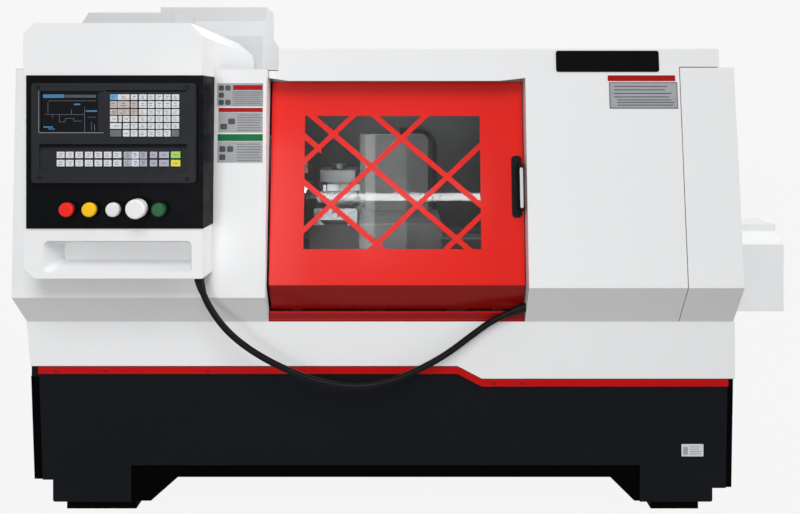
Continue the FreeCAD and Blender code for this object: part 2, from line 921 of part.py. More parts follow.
def headstock():
    """The headstock casting, hollow between its end walls, with the boss round the spindle nose."""
    near = front + d.headstock_front
    far = near + d.headstock_width
    start = left + d.headstock_left
    shell = prism("headstock_shell", "x", start, [
        (near, bed_top),
        *vee(bed_top, d.joint_gap),
        (far, bed_top),
        (far, headstock_top),
        (near, headstock_top),
    ], d.headstock_length, (5, 6), d.headstock_round)
    boss = rod("headstock_boss", "x", (start + d.headstock_length, axis_y, axis_z), d.headstock_boss_radius,
               d.headstock_boss_length)
    wall = d.headstock_wall
    hollow = box("headstock_hollow", (start + wall, near + wall / 2, bed_top + wall),
                 (d.headstock_length - wall * 2, d.headstock_width - wall,
                  headstock_top - bed_top - wall * 2))
    bore = rod("headstock_bore", "x", (start, axis_y, axis_z), d.spindle_journal + d.running_gap,
               d.headstock_length + d.headstock_boss_length)
    node("headstock_casing", cut("headstock_casing", fuse("headstock_block", shell, boss), hollow, bore))


def spindle():
    """The hollow spindle from its tail to its nose flange."""
    length = d.headstock_length + d.headstock_boss_length + d.joint_gap
    nose = length + d.spindle_nose_length
    node("spindle", turned("spindle", "x", left + d.headstock_left, axis_y, axis_z, [
        (-d.spindle_tail_length, d.spindle_bore),
        (-d.spindle_tail_length, d.spindle_tail),
        (-d.spindle_shoulder, d.spindle_tail),
        (-d.spindle_shoulder, d.spindle_journal),
        (length, d.spindle_journal),
        (length, d.spindle_nose_radius),
        (nose, d.spindle_nose_radius),
        (nose, d.spindle_bore),
    ]))


def turned_about_spindle(thing, number):
    """Puts a piece drawn above the spindle axis at one of three even places round it."""
    thing.Placement = FreeCAD.Placement(Vector(), Rotation(Vector(1, 0, 0), 120 * number))
    place(thing, 0, axis_y, axis_z)


def chuck():
    """The three-jaw chuck: a body with three radial slots, and stepped jaws that slide in them."""
    back_x = left + d.headstock_left + d.headstock_length + d.headstock_boss_length + d.joint_gap
    chuck_x = back_x + d.spindle_nose_length
    face_x = chuck_x + d.chuck_length
    edge = d.chuck_recess
    profile = [
        (0, d.spindle_bore),
        (0, d.chuck_radius - edge),
        (edge, d.chuck_radius),
        (d.chuck_length - edge, d.chuck_radius),
        (d.chuck_length, d.chuck_radius - edge),
        (d.chuck_length, d.spindle_bore),
    ]
    blank = turned("chuck_blank", "x", chuck_x, axis_y, axis_z, profile)
    slot_half = d.jaw_width / 2 + d.joint_gap
    slots = []
    for number in range(3):
        points = [
            (-slot_half, 0),
            (slot_half, 0),
            (slot_half, d.chuck_radius * 1.1),
            (-slot_half, d.chuck_radius * 1.1),
        ]
        slot = prism(f"jaw_slot_{number}", "x", 0, points, d.jaw_slot_depth + d.joint_gap)
        turned_about_spindle(slot, number)
        bind(slot, ".Placement.Base.x", face_x - d.jaw_slot_depth - d.joint_gap)
        slots.append(slot)
    node("chuck_body", cut("chuck_body", blank, *slots))
    floor_x = face_x - d.jaw_slot_depth
    for number in range(3):
        points = [
            (floor_x, d.jaw_inner),
            (face_x + d.jaw_step * 2, d.jaw_inner),
            (face_x + d.jaw_step * 2, d.jaw_nose_outer),
            (face_x + d.jaw_step, d.jaw_nose_outer),
            (face_x + d.jaw_step, d.jaw_step_outer),
            (face_x + d.joint_gap, d.jaw_step_outer),
            (face_x + d.joint_gap, d.jaw_foot_outer),
            (floor_x, d.jaw_foot_outer),
        ]
        jaw = prism(f"chuck_jaw_{number + 1}", "y", 0, points, d.jaw_width)
        pad = jaw.Group[-1]
        pad.SideType = "Symmetric"
        turned_about_spindle(jaw, number)
        node(f"chuck_jaw_{number + 1}", jaw)


def carriage():
    """The saddle with its apron, riding on the bed, and the cross slide on its dovetail."""
    near = front + d.saddle_front
    far = front + d.saddle_back
    under = bed_top + d.joint_gap
    points = [
        (near, apron_bottom),
        (near + d.apron_depth, apron_bottom),
        (near + d.apron_depth, under),
        *vee(under, d.joint_gap),
        (far, under),
        (far, saddle_top),
        (near, saddle_top),
    ]
    start = left + d.saddle_left
    slab = prism("saddle_slab", "x", start, points, d.saddle_length, (0, 8), d.leg_round)
    centre = left + d.slide_centre
    ridge = prism("saddle_ridge", "y", near, [
        (centre - d.dovetail_foot, saddle_top),
        (centre + d.dovetail_foot, saddle_top),
        (centre + d.dovetail_head, saddle_top + d.dovetail_height),
        (centre - d.dovetail_head, saddle_top + d.dovetail_height),
    ], far - near - d.screw_x_block_length - d.joint_gap)
    bore = rod("saddle_bore", "x", (start, front + d.screw_z_depth, screw_z_height),
               d.screw_z_radius + d.joint_gap, d.saddle_length)
    side = d.screw_x_block_side
    block_y = far - d.screw_x_block_length
    block = box("screw_x_block", (centre - side / 2, block_y, saddle_top),
                (side, d.screw_x_block_length, side))
    height = saddle_top + d.screw_x_rise
    seat = rod("screw_x_seat", "y", (centre, block_y, height), d.screw_x_radius + d.running_gap,
               d.screw_x_block_length - d.screw_x_block_floor)
    node("saddle", cut("saddle", fuse("saddle_body", slab, ridge, block), bore, seat))
    screw_y = front + d.slide_front - d.tool_section
    node("screw_x", rod("screw_x", "y", (centre, screw_y, height), d.screw_x_radius,
                        far - d.screw_x_block_floor * 2 - screw_y))
    gap = d.joint_gap
    top = saddle_top + gap + d.slide_height
    half = d.slide_width / 2
    slide = prism("slide_block", "y", front + d.slide_front, [
        (centre - half, saddle_top + gap),
        (centre - d.dovetail_foot - gap * 2, saddle_top + gap),
        (centre - d.dovetail_head - gap * 2, saddle_top + d.dovetail_height + gap),
        (centre + d.dovetail_head + gap * 2, saddle_top + d.dovetail_height + gap),
        (centre + d.dovetail_foot + gap * 2, saddle_top + gap),
        (centre + half, saddle_top + gap),
        (centre + half, top),
        (centre - half, top),
    ], d.slide_length, (6, 7), d.leg_round)
    tunnel = rod("slide_tunnel", "y", (centre, front + d.slide_front, height), d.screw_x_tunnel,
                 d.slide_length)
    node("cross_slide", cut("cross_slide", slide, tunnel))


def drive_cover():
    """The tall rounded cover on the back of the saddle, with its bent conduit."""
    near = front + d.drive_cover_front
    start = left + d.drive_cover_left
    points = [
        (start, saddle_top),
        (start + d.drive_cover_length, saddle_top),
        (start + d.drive_cover_length, drive_cover_top),
        (start, drive_cover_top),
    ]
    node("drive_cover", prism("drive_cover", "y", near, points, d.drive_cover_depth, (2, 3),
                              d.drive_cover_round))
    bend = d.conduit_bend
    radius = d.conduit_radius
    centre_x = start + d.drive_cover_length + radius * 2
    middle_y = near + d.drive_cover_depth / 2
    top = drive_cover_top + radius * 2
    drop = rod("conduit_drop", "z", (centre_x + radius, middle_y, saddle_top), radius,
               top - bend - saddle_top)
    elbow = document.addObject("Part::Torus", "conduit_elbow")
    elbow.Placement = FreeCAD.Placement(Vector(), Rotation(Vector(1, 0, 0), 90))
    bind(elbow, "Radius1", bend)
    bind(elbow, "Radius2", radius)
    elbow.Angle3 = 90
    place(elbow, centre_x + radius - bend, middle_y, top - bend)
    run = rod("conduit_run", "x", (centre_x + radius - bend - d.conduit_rise, middle_y, top), radius,
              d.conduit_rise)
    clip = box("conduit_clip",
               (centre_x + radius - bend - d.conduit_rise, middle_y - radius, drive_cover_top),
               (radius * 2, radius * 2, radius * 2))
    node("conduit", fuse("conduit", drop, elbow, run, clip))


def turret():
    """The four-way turret on the cross slide, with its cap and its four tools."""
    centre_x = left + d.slide_centre
    centre_y = front + d.turret_depth
    slide_top = saddle_top + d.joint_gap + d.slide_height
    node("turret_base", rod("turret_base", "z", (centre_x, centre_y, slide_top), d.turret_base_radius,
                            d.turret_base_height))
    bottom = slide_top + d.turret_base_height + d.joint_gap
    half = d.turret_side / 2
    block = prism("turret_block", "z", bottom, [
        (centre_x - half, centre_y - half),
        (centre_x + half, centre_y - half),
        (centre_x + half, centre_y + half),
        (centre_x - half, centre_y + half),
    ], d.turret_height, (0, 1, 2, 3), d.leg_round)
    core = half - d.turret_slot_depth
    ring = box("turret_ring", (centre_x - half, centre_y - half, bottom + d.turret_slot_rise),
               (d.turret_side, d.turret_side, d.turret_slot_height))
    post = box("turret_post", (centre_x - core, centre_y - core, bottom),
               (core * 2, core * 2, d.turret_height))
    cap = rod("turret_cap", "z", (centre_x, centre_y, bottom + d.turret_height), d.turret_cap_radius,
              d.turret_cap_height)
    slotted = cut("turret_slotted", block, cut("turret_slot", ring, post))
    node("turret_head", fuse("turret_head", slotted, cap))
    section = d.tool_section
    tools = []
    for number in range(4):
        low_z = bottom + d.turret_slot_rise
        points = [
            (-half - d.tool_reach, core),
            (d.tool_length - half - d.tool_reach, core),
            (d.tool_length - half - d.tool_reach, core + section),
            (section - half - d.tool_reach, core + section),
            (-half - d.tool_reach, core + section / 2),
        ]
        tool = prism(f"tool_{number}", "z", 0, points, section)
        tool.Placement = FreeCAD.Placement(Vector(), Rotation(Vector(0, 0, 1), 90 * number))
        place(tool, centre_x, centre_y, low_z)
        tools.append(tool)
    node("tool_bits", group("tool_bits", *tools))


def long_feed():
    """The long ball screw along the bed's front, its two bearing blocks and its motor."""
    centre_y = front + d.screw_z_depth
    height = screw_z_height
    side = d.bearing_block_side
    wall_y = front + d.bed_setback + d.bed_web_inset
    blocks = []
    for name, along in (("left_block", d.screw_block_left), ("right_block", screw_block_right)):
        body = box(name, (left + along, centre_y - side / 2, height - side / 2),
                   (d.bearing_block_length, wall_y - centre_y + side / 2, side))
        hole = rod(name + "_hole", "x", (left + along, centre_y, height), d.screw_z_radius + d.running_gap,
                   d.bearing_block_length)
        blocks.append(cut(name + "_bored", body, hole))
    node("screw_blocks", group("screw_blocks", *blocks))
    length = screw_z_right - d.screw_z_left
    node("screw_z", rod("screw_z", "x", (left + d.screw_z_left, centre_y, height), d.screw_z_radius, length))
    side = d.motor_z_width
    motor_x = left + screw_z_right - d.motor_z_gap
    case = box("motor_z_case", (motor_x, centre_y - side / 2, height - side / 2),
               (d.motor_z_length, side, side))
    bore = rod("motor_z_bore", "x", (motor_x, centre_y, height), d.screw_z_radius + d.running_gap,
               d.motor_z_gap + d.joint_gap)
    arm_start = left + screw_block_right + d.bearing_block_length
    arm = box("motor_arm", (arm_start, centre_y - side / 2, height - side / 2),
              (motor_x - arm_start, side / 6, side))
    node("motor_z", fuse("motor_z", cut("motor_z_bored", case, bore), arm))


def tailstock():
    """The tailstock: body over the ways, quill with its centre, and handwheel."""
    start = left + tail_left
    under = bed_top + d.joint_gap
    middle = axis_y
    half = d.tail_base_width / 2
    neck = d.tail_neck_width / 2
    shoulder = under + d.tail_base_height
    section = prism("tail_section", "x", start, [
        (middle - half, under),
        *vee(under, d.joint_gap),
        (middle + half, under),
        (middle + half, shoulder),
        (middle + neck, shoulder + d.tail_base_height / 2),
        (middle + neck, axis_z),
        (middle - neck, axis_z),
        (middle - neck, shoulder + d.tail_base_height / 2),
        (middle - half, shoulder),
    ], d.tail_length)
    barrel = rod("tail_barrel", "x", (start - d.tail_barrel_overhang, axis_y, axis_z), d.tail_barrel_radius,
                 d.tail_length + d.tail_barrel_overhang * 2)
    bore = rod("tail_bore", "x", (start - d.tail_barrel_overhang, axis_y, axis_z),
               d.quill_radius + d.running_gap, d.tail_length + d.tail_barrel_overhang * 2)
    node("tailstock_body", cut("tailstock_body", fuse("tail_casting", section, barrel), bore))
    mouth = start - d.tail_barrel_overhang
    quill_length = d.quill_out + d.tail_length * 0.8
    node("quill", turned("quill", "x", mouth - d.quill_out, axis_y, axis_z, [
        (-d.centre_length, 0),
        (-d.centre_length / 2, d.centre_radius),
        (0, d.centre_radius),
        (0, d.quill_radius - d.leg_round),
        (d.leg_round, d.quill_radius),
        (quill_length, d.quill_radius),
        (quill_length, 0),
    ]))
    wheel_x = start + d.tail_length + d.tail_barrel_overhang + d.joint_gap
    hub = d.wheel_thick * 1.6
    rim = d.wheel_radius - d.wheel_rim
    profile = [
        (0, 0),
        (hub, 0),
        (hub, d.wheel_hub_radius),
        (d.wheel_thick * 0.5 + d.wheel_web, d.wheel_hub_radius),
        (d.wheel_thick * 0.5 + d.wheel_web, rim),
        (d.wheel_thick, rim + d.wheel_rim / 3),
        (d.wheel_thick, d.wheel_radius - d.wheel_rim / 4),
        (d.wheel_thick * 0.8, d.wheel_radius),
        (d.wheel_thick * 0.2, d.wheel_radius),
        (0, d.wheel_radius - d.wheel_rim / 4),
        (0, rim + d.wheel_rim / 3),
        (d.wheel_thick * 0.5, rim),
        (d.wheel_thick * 0.5, d.wheel_hub_radius),
        (0, d.wheel_hub_radius),
    ]
    disc = turned("wheel_disc", "x", wheel_x, axis_y, axis_z, profile)
    grip = rod("wheel_grip", "x", (wheel_x + d.wheel_thick / 2, axis_y, axis_z + rim + d.wheel_rim / 2),
               d.wheel_handle_radius, d.wheel_handle_length)
    node("tail_handwheel", fuse("tail_handwheel", disc, grip))


def left_guards():
    """The left front guard, the left end sheet under it and the top cover over the headstock."""
    top = d.guard_top - d.guard_sheet
    section = folded_sheet(left_face, d.left_bevel_run, left_bevel_top, top)
    strip = prism("left_strip", "x", guard_left, section, d.guard_reach + d.left_guard_length)
    shape = prism("left_shape", "y", front - d.left_bevel_run * 2, [
        (guard_left, top),
        (guard_left, left_bevel_top),
        (left + d.tray_left, d.tray_rim),
        (left + d.left_guard_length, d.tray_rim),
        (left + d.left_guard_length, top),
    ], d.left_bevel_run * 4)
    flange_x = left + d.left_guard_length - d.guard_sheet
    inner = d.guard_sheet / 2
    flange_foot = front + d.door_bottom_setback - d.flange_gap
    flange = prism("left_flange", "x", flange_x, [
        (front + inner, d.tray_rim),
        (left_face(left_bevel_top) + inner, left_bevel_top),
        (left_face(top) + inner, top),
        (door_face(top) - d.flange_gap, top),
        (door_face(door_bevel_top) - d.flange_gap, door_bevel_top),
        (flange_foot, door_bottom),
        (flange_foot, d.tray_rim),
    ], d.guard_sheet)
    node("left_guard", fuse("left_guard", common("left_front", strip, shape), flange))
    slant = prism("left_end_slant", "y", front - d.left_bevel_run * 2, [
        (guard_left, top),
        (guard_left, left_bevel_top),
        (left + d.tray_left, d.tray_rim),
        (left + d.tray_left + d.guard_sheet, d.tray_rim),
        (guard_left + d.guard_sheet, left_bevel_top),
        (guard_left + d.guard_sheet, top),
    ], enclosure_depth * 2)
    side = prism("left_end_side", "x", guard_left, [
        (front + d.guard_sheet, d.tray_rim),
        (left_face(left_bevel_top) + d.guard_sheet, left_bevel_top),
        (left_face(top) + d.guard_sheet, top),
        (rear, top),
        (rear, d.tray_rim),
    ], d.tray_left * 3)
    node("left_end_guard", common("left_end_guard", slant, side))
    band_back = right_face(d.guard_top) + d.guard_sheet
    node("headstock_cover", prism("headstock_cover", "z", top, [
        (guard_left, left_face(d.guard_top)),
        (left + d.left_guard_length, left_face(d.guard_top)),
        (left + d.left_guard_length, band_back),
        (left + hood_left, band_back),
        (left + hood_left, rear),
        (guard_left, rear),
    ], d.guard_sheet))


def right_guards():
    """The right front guard with the band over the door, and the separate right end guard."""
    bottom = band_bottom
    section = folded_sheet(right_face, d.right_bevel_run, right_bevel_top, hood_top)
    strip = prism("right_strip", "x", left + band_tongue_left, section, band_right - band_tongue_left)
    tongue_top = d.guard_top - d.guard_sheet * 2
    edge = end_guard_top + d.seam_gap
    shape = prism("right_shape", "y", front - d.right_bevel_run * 2, [
        (left + hood_left, hood_top),
        (left + band_right, hood_top),
        (left + band_right, edge),
        (left + seam_left, edge),
        (left + seam_left, d.tray_rim),
        (left + d.right_guard_left, d.tray_rim),
        (left + d.right_guard_left, bottom + d.band_corner_rise),
        (left + band_right_corner, bottom),
        (left + band_left_corner, bottom),
        (left + band_tongue_left, bottom + d.band_corner_rise),
        (left + band_tongue_left, tongue_top),
        (left + hood_left, tongue_top),
    ], d.right_bevel_run * 4)
    flange_back = front + d.rim_front
    flange_top = door_top + d.channel_rise + d.channel_height
    flange = prism("right_flange", "x", left + d.right_guard_left, [
        (front + d.guard_sheet / 2, d.tray_rim),
        (right_face(right_bevel_top) + d.guard_sheet / 2, right_bevel_top),
        (right_face(flange_top) + d.guard_sheet / 2, flange_top),
        (flange_back, flange_top),
        (flange_back, d.tray_rim),
    ], d.guard_sheet)
    node("right_guard", fuse("right_guard", common("right_front", strip, shape), flange))
    top = end_guard_top
    end_left = left + seam_left + d.seam_gap
    end_length = d.guard_length - seam_left - d.seam_gap
    end_front = prism("end_front", "x", end_left,
                      folded_sheet(right_face, d.right_bevel_run, right_bevel_top, top), end_length)
    side_x = left + d.guard_length - d.guard_sheet
    inner = d.guard_sheet / 2
    side = prism("end_side", "x", side_x, [
        (front + inner, d.tray_rim),
        (right_face(right_bevel_top) + inner, right_bevel_top),
        (right_face(top) + inner, top),
        (rear, top),
        (rear, d.tray_rim),
    ], d.guard_sheet)
    lid_front = right_face(top) + inner
    lid = box("end_lid", (end_left, lid_front, top - d.guard_sheet),
              (end_length, rear - lid_front, d.guard_sheet))
    window = box("end_window", (side_x, front + d.end_window_front, d.tray_rim),
                 (d.guard_sheet, d.end_window_depth, end_window_top - d.tray_rim))
    node("right_end_guard", fuse("right_end_guard", end_front, lid, cut("end_side_open", side, window)))


def rear_guard():
    """The rear sheet with its sloping ledge, between the tray and the top covers."""
    lower = rear - d.rear_ledge_run
    thick = d.guard_sheet
    top = d.guard_top - thick
    points = [
        (lower, d.tray_rim),
        (lower, d.rear_ledge_low),
        (rear - thick, d.rear_ledge_high),
        (rear - thick, top),
        (rear, top),
        (rear, d.rear_ledge_high - thick),
        (lower + thick, d.rear_ledge_low - thick),
        (lower + thick, d.tray_rim),
    ]
    start = guard_left + thick
    end = left + d.guard_length - thick
    ledged = prism("rear_sheet", "x", start, points, end - start)
    shape = prism("rear_shape", "y", lower, [
        (start, top),
        (start, left_bevel_top),
        (start + d.guard_reach + d.tray_left, d.tray_rim),
        (end, d.tray_rim),
        (end, top),
    ], rear - lower)
    node("rear_guard", common("rear_guard", ledged, shape))


def top_hood():
    """The hood over the work area: a lid with end walls and a rear wall, behind the band."""
    thick = d.guard_sheet
    start = left + hood_left
    length = band_right - hood_left
    near = right_face(hood_top) + thick
    lid = box("hood_lid", (start, near, hood_top - thick), (length, rear - near, thick))
    sill = d.guard_top - thick
    left_wall = box("hood_left", (start, near, sill), (thick, rear - near, hood_top - sill))
    right_wall = box("hood_right", (start + length - thick, near, end_guard_top),
                     (thick, rear - near, hood_top - end_guard_top))
    back_wall = box("hood_back", (start, rear - thick, sill), (length, thick, hood_top - sill))
    stop = box("hood_stop", (left + seam_left, near, sill),
               (d.guard_length - seam_left, rear - near, end_guard_top - sill))
    node("top_hood", cut("top_hood", fuse("hood_walls", lid, left_wall, right_wall, back_wall), stop))


def end_motor_cover():
    """The cover of the long-feed motor beyond the right end, with its sloping shoulder."""
    near = front + d.end_cover_setback
    far = near + d.end_cover_depth
    ridge = near + d.end_cover_slope
    outer = [
        (near, end_cover_bottom),
        (near, end_cover_shoulder),
        (ridge, end_cover_ridge),
        (ridge, end_cover_top),
        (far, end_cover_top),
        (far, end_cover_bottom),
    ]
    thick = d.guard_sheet
    inner = [
        (near + thick, end_cover_bottom + thick),
        (near + thick, end_cover_shoulder - thick),
        (ridge + thick, end_cover_ridge - thick),
        (ridge + thick, end_cover_top - thick),
        (far - thick, end_cover_top - thick),
        (far - thick, end_cover_bottom + thick),
    ]
    start = left + d.guard_length
    shell = prism("end_cover_outer", "x", start, outer, d.end_cover_reach)
    hollow = prism("end_cover_inner", "x", start, inner, d.end_cover_reach - thick)
    step = box("end_cover_step", (start, near, d.base_top),
               (d.tray_overhang + d.joint_gap, d.end_cover_depth, d.tray_rim + d.joint_gap - d.base_top))
    node("end_motor_cover", cut("end_motor_cover", shell, hollow, step))


def lattice_bar(name, height, slope, begin, end):
    """One slanting bar of the door's lattice, as a parallelogram through the door."""
    half = d.bar_thick / 2
    edge = left + window_left
    rise_in = height + slope * begin
    rise_out = height + slope * end
    points = [
        (edge + begin, window_bottom + rise_in - half),
        (edge + end, window_bottom + rise_out - half),
        (edge + end, window_bottom + rise_out + half),
        (edge + begin, window_bottom + rise_in + half),
    ]
    return prism(name, "y", front - d.left_bevel_run, points, d.left_bevel_run * 2)


def door():
    """The sliding door: a folded tray whose window is crossed by a lattice of slanting bars."""
    thick = d.door_sheet
    bottom_y = front + d.door_bottom_setback
    rear_y = front + d.door_back
    start = left + door_left
    length = door_right - door_left
    outer = prism("door_outer", "x", start, [
        (bottom_y, door_bottom),
        (door_face(door_bevel_top), door_bevel_top),
        (door_face(door_top), door_top),
        (rear_y, door_top),
        (rear_y, door_bottom),
    ], length)
    inner_top = door_top - thick
    inner = prism("door_inner", "x", start + thick, [
        (bottom_y + thick, door_bottom + thick),
        (door_face(door_bevel_top) + thick, door_bevel_top),
        (door_face(inner_top) + thick, inner_top),
        (rear_y + thick, inner_top),
        (rear_y + thick, door_bottom + thick),
    ], length - thick * 2)
    window_height = window_top - window_bottom
    opening = box("window_opening", (left + window_left, front - d.left_bevel_run, window_bottom),
                  (window_length, d.left_bevel_run * 2, window_height))
    over = -d.bar_overrun
    end = window_length + d.bar_overrun
    bars = [
        lattice_bar("rising_a", d.rising_bar_a, d.bar_rise, over, end),
        lattice_bar("rising_b", d.rising_bar_b, d.bar_rise, over, end),
        lattice_bar("rising_c", d.rising_bar_c, d.bar_rise, over, end),
        lattice_bar("rising_d", d.rising_bar_d, d.bar_rise, over, end),
        lattice_bar("falling_a", d.falling_bar_a, -d.bar_fall, over, end),
        lattice_bar("falling_b", d.falling_bar_b, -d.bar_fall, over, end),
        lattice_bar("falling_c", d.falling_bar_c, -d.bar_fall, over, end),
        lattice_bar("short", d.short_bar, -d.bar_fall, over, d.short_bar_length),
    ]
    cells = cut("window_cells", opening, *bars)
    tray = cut("door_tray", outer, inner, cells)
    tongue = box("door_tongue", (start + thick, front + d.tongue_depth, inner_top),
                 (length - thick * 2, d.tongue_thick, d.tongue_height + thick))
    roller_y = front + d.roller_depth
    roller_z = d.tray_rim + d.rail_height + d.joint_gap + d.roller_radius
    hanger_y = roller_y + d.roller_width + d.joint_gap * 2
    room = d.roller_radius + d.joint_gap * 10
    notches = []
    hangers = []
    for name, along in (("left", door_left + d.roller_inset), ("right", door_right - d.roller_inset)):
        notches.append(box(f"{name}_notch",
                           (left + along - room, roller_y - d.joint_gap * 4, door_bottom - thick),
                           (room * 2, d.roller_width + d.joint_gap * 5, thick * 3)))
        low = roller_z - d.roller_pin * 2
        hangers.append(box(f"{name}_hanger", (left + along - d.hanger_width / 2, hanger_y, low),
                           (d.hanger_width, d.hanger_thick, d.hanger_height)))
        hangers.append(rod(f"{name}_pin", "y", (left + along, roller_y - d.joint_gap, roller_z), d.roller_pin,
                           hanger_y - roller_y + d.hanger_thick / 2))
        bore = d.roller_pin + d.running_gap
        profile = [
            (0, bore),
            (d.roller_width, bore),
            (d.roller_width, d.roller_radius),
            (0, d.roller_radius),
        ]
        roller = turned(f"door_roller_{name}", "y", left + along, roller_y, roller_z, profile)
        node(f"door_roller_{name}", roller)
    notched = cut("door_notched", tray, *notches)
    node("door_panel", fuse("door_panel", notched, tongue, *hangers))
    low = window_bottom - d.pane_overlap
    high = window_top + d.pane_overlap
    node("door_window", prism("door_window", "x", left + window_left - d.pane_overlap, [
        (door_face(low) + thick, low),
        (door_face(high) + thick, high),
        (door_face(high) + thick + d.pane_thick, high),
        (door_face(low) + thick + d.pane_thick, low),
    ], window_length + d.pane_overlap * 2))


def door_handle():
    """The pull handle: a plate on the door and a bridge with room for the fingers."""
    low = handle_bottom
    high = handle_bottom + d.handle_height
    plate = d.handle_plate
    node("handle_plate", prism("handle_plate", "x", left + handle_left, [
        (door_face(low), low),
        (door_face(high), high),
        (door_face(high) - plate, high),
        (door_face(low) - plate, low),
    ], d.handle_width))
    low = low + d.grip_inset
    high = high - d.grip_inset
    reach = d.grip_reach
    bar = d.grip_bar
    node("handle_grip", prism("handle_grip", "x", left + grip_left, [
        (door_face(low) - plate, low),
        (door_face(low) - plate - reach + bar, low),
        (door_face(low) - plate - reach, low + bar),
        (door_face(high) - plate - reach, high - bar),
        (door_face(high) - plate - reach + bar, high),
        (door_face(high) - plate, high),
        (door_face(high - bar) - plate, high - bar),
        (door_face(high) - plate - reach + bar, high - bar * 1.6),
        (door_face(low) - plate - reach + bar, low + bar * 1.6),
        (door_face(low + bar) - plate, low + bar),
    ], d.grip_width))


def door_rails():
    """The rail that the rollers run on, the channel that guides the door's top, and the red sill."""
    start = left + d.tray_left + d.guard_sheet
    length = left + d.right_guard_left - start
    node("door_bottom_rail", box("door_bottom_rail", (start, front + d.rail_front, d.tray_rim),
                                 (length, d.rail_width, d.rail_height)))
    node("door_sill", box("door_sill", (left + d.left_guard_length, front, d.tray_rim),
                          (d.right_guard_left - d.left_guard_length, d.guard_sheet, d.sill_height)))
    near = front + d.tongue_depth - d.channel_side_gap
    far = front + d.tongue_depth + d.tongue_thick + d.channel_side_gap
    wall = d.channel_wall
    low = door_top + d.channel_rise
    high = low + d.channel_height
    start = left + d.guard_sheet
    node("door_top_rail", prism("door_top_rail", "x", start, [
        (near - wall, low),
        (near, low),
        (near, high - wall),
        (far, high - wall),
        (far, low),
        (far + wall, low),
        (far + wall, high),
        (near - wall, high),
    ], left + d.right_guard_left - start))


def control_box():
    """The control box: chamfered shell, storage slot, fascia, controller and buttons."""
    start = left + d.box_left
    end = start + d.box_width
    deep = box_front + d.box_depth
    profile = prism("box_profile", "x", start, [
        (box_front, box_bottom),
        (box_front, box_top),
        (deep - d.box_rear_bevel, box_top),
        (deep, box_top - d.box_rear_drop),
        (deep, d.guard_top),
        (left_face(d.guard_top), d.guard_top),
        (left_face(box_bottom), box_bottom),
    ], d.box_width)
    face = prism("box_face", "y", box_front, [
        (start + d.box_low_corner, box_bottom),
        (end, box_bottom),
        (end, box_top - d.box_right_corner),
        (end - d.box_right_corner, box_top),
        (start + d.box_left_corner, box_top),
        (start, box_top - d.box_left_corner),
        (start, box_bottom + d.box_low_corner),
    ], d.box_depth)
    plan = prism("box_plan", "z", box_bottom, [
        (start, box_front),
        (end - d.box_splay, box_front),
        (end, front),
        (end, deep),
        (start, deep),
    ], d.box_height)
    cavity = box("box_cavity", (start + d.cavity_inset, box_front, cavity_bottom),
                 (d.box_width - d.cavity_inset * 2, d.cavity_depth, cavity_top - cavity_bottom))
    slot_left = start + d.slot_inset
    slot = prism("storage_slot", "y", box_front, [
        (slot_left, slot_bottom),
        (slot_left + d.slot_length, slot_bottom),
        (slot_left + d.slot_length, slot_bottom + d.slot_height),
        (slot_left, slot_bottom + d.slot_height),
    ], d.slot_depth, (0, 1, 2, 3), d.slot_round, d.slot_draft)
    block = common("box_block", common("box_outline", profile, face), plan)
    node("control_box", cut("control_box", block, cavity, slot))


def fascia():
    """The black fascia: one sheet over the box's front that folds back along its right side."""
    start = left + d.box_left
    end = start + d.box_width
    thick = d.fascia_thick
    plan = prism("fascia_plan", "z", fascia_bottom, [
        (start + d.fascia_inset, box_front - thick),
        (end - d.box_splay + thick, box_front - thick),
        (end + thick, front),
        (end, front),
        (end - d.box_splay, box_front),
        (start + d.fascia_inset, box_front),
    ], fascia_top - fascia_bottom)
    limit = prism("fascia_limit", "x", start, [
        (box_front - thick, fascia_bottom),
        (box_front - thick, fascia_top),
        (left_face(fascia_top), fascia_top),
        (left_face(fascia_bottom), fascia_bottom),
    ], d.box_width + thick)
    holes = []
    for name, along, height in button_places():
        holes.append(rod(f"{name}_hole", "y", (left + along, box_front - thick, height),
                         d.button_stem + d.button_gap, thick))
    node("control_fascia", cut("control_fascia", common("fascia_sheet", plan, limit), *holes))


def button_places():
    """Each push button's name, its place from the machine's left end and its height."""
    return (
        ("button_red", d.button_red_place, button_height),
        ("button_yellow", d.button_yellow_place, button_height),
        ("button_white", d.button_white_place, button_height),
        ("button_large", d.button_large_place, button_height + d.button_large_lift),
        ("button_green", d.button_green_place, button_height),
    )


def buttons():
    """Five push buttons, each a headed stem that slides through its bezel."""
    face = box_front - d.fascia_thick
    hole = d.button_stem + d.button_gap
    rings = []
    for name, along, height in button_places():
        profile = [
            (-d.bezel_thick, hole),
            (-d.bezel_thick, d.bezel_radius - d.button_gap * 5),
            (-d.bezel_thick / 2, d.bezel_radius),
            (0, d.bezel_radius),
            (0, hole),
        ]
        rings.append(turned(f"{name}_bezel", "y", left + along, face, height, profile))
        large = name == "button_large"
        cap = d.large_cap if large else d.button_cap
        back_of_cap = -d.bezel_thick - d.button_travel_room
        crown = d.fascia_thick - d.knob_reach if large else back_of_cap - d.button_cap_thick
        soft = d.button_cap_round
        profile = [
            (d.button_stem_length, 0),
            (d.button_stem_length, d.button_stem),
            (back_of_cap, d.button_stem),
            (back_of_cap, cap),
            (crown + soft, cap),
            (crown + soft * 0.3, cap - soft * 0.3),
            (crown, cap - soft),
            (crown, 0),
        ]
        node(name, turned(name, "y", left + along, face, height, profile))
    node("button_bezels", group("button_bezels", *rings))


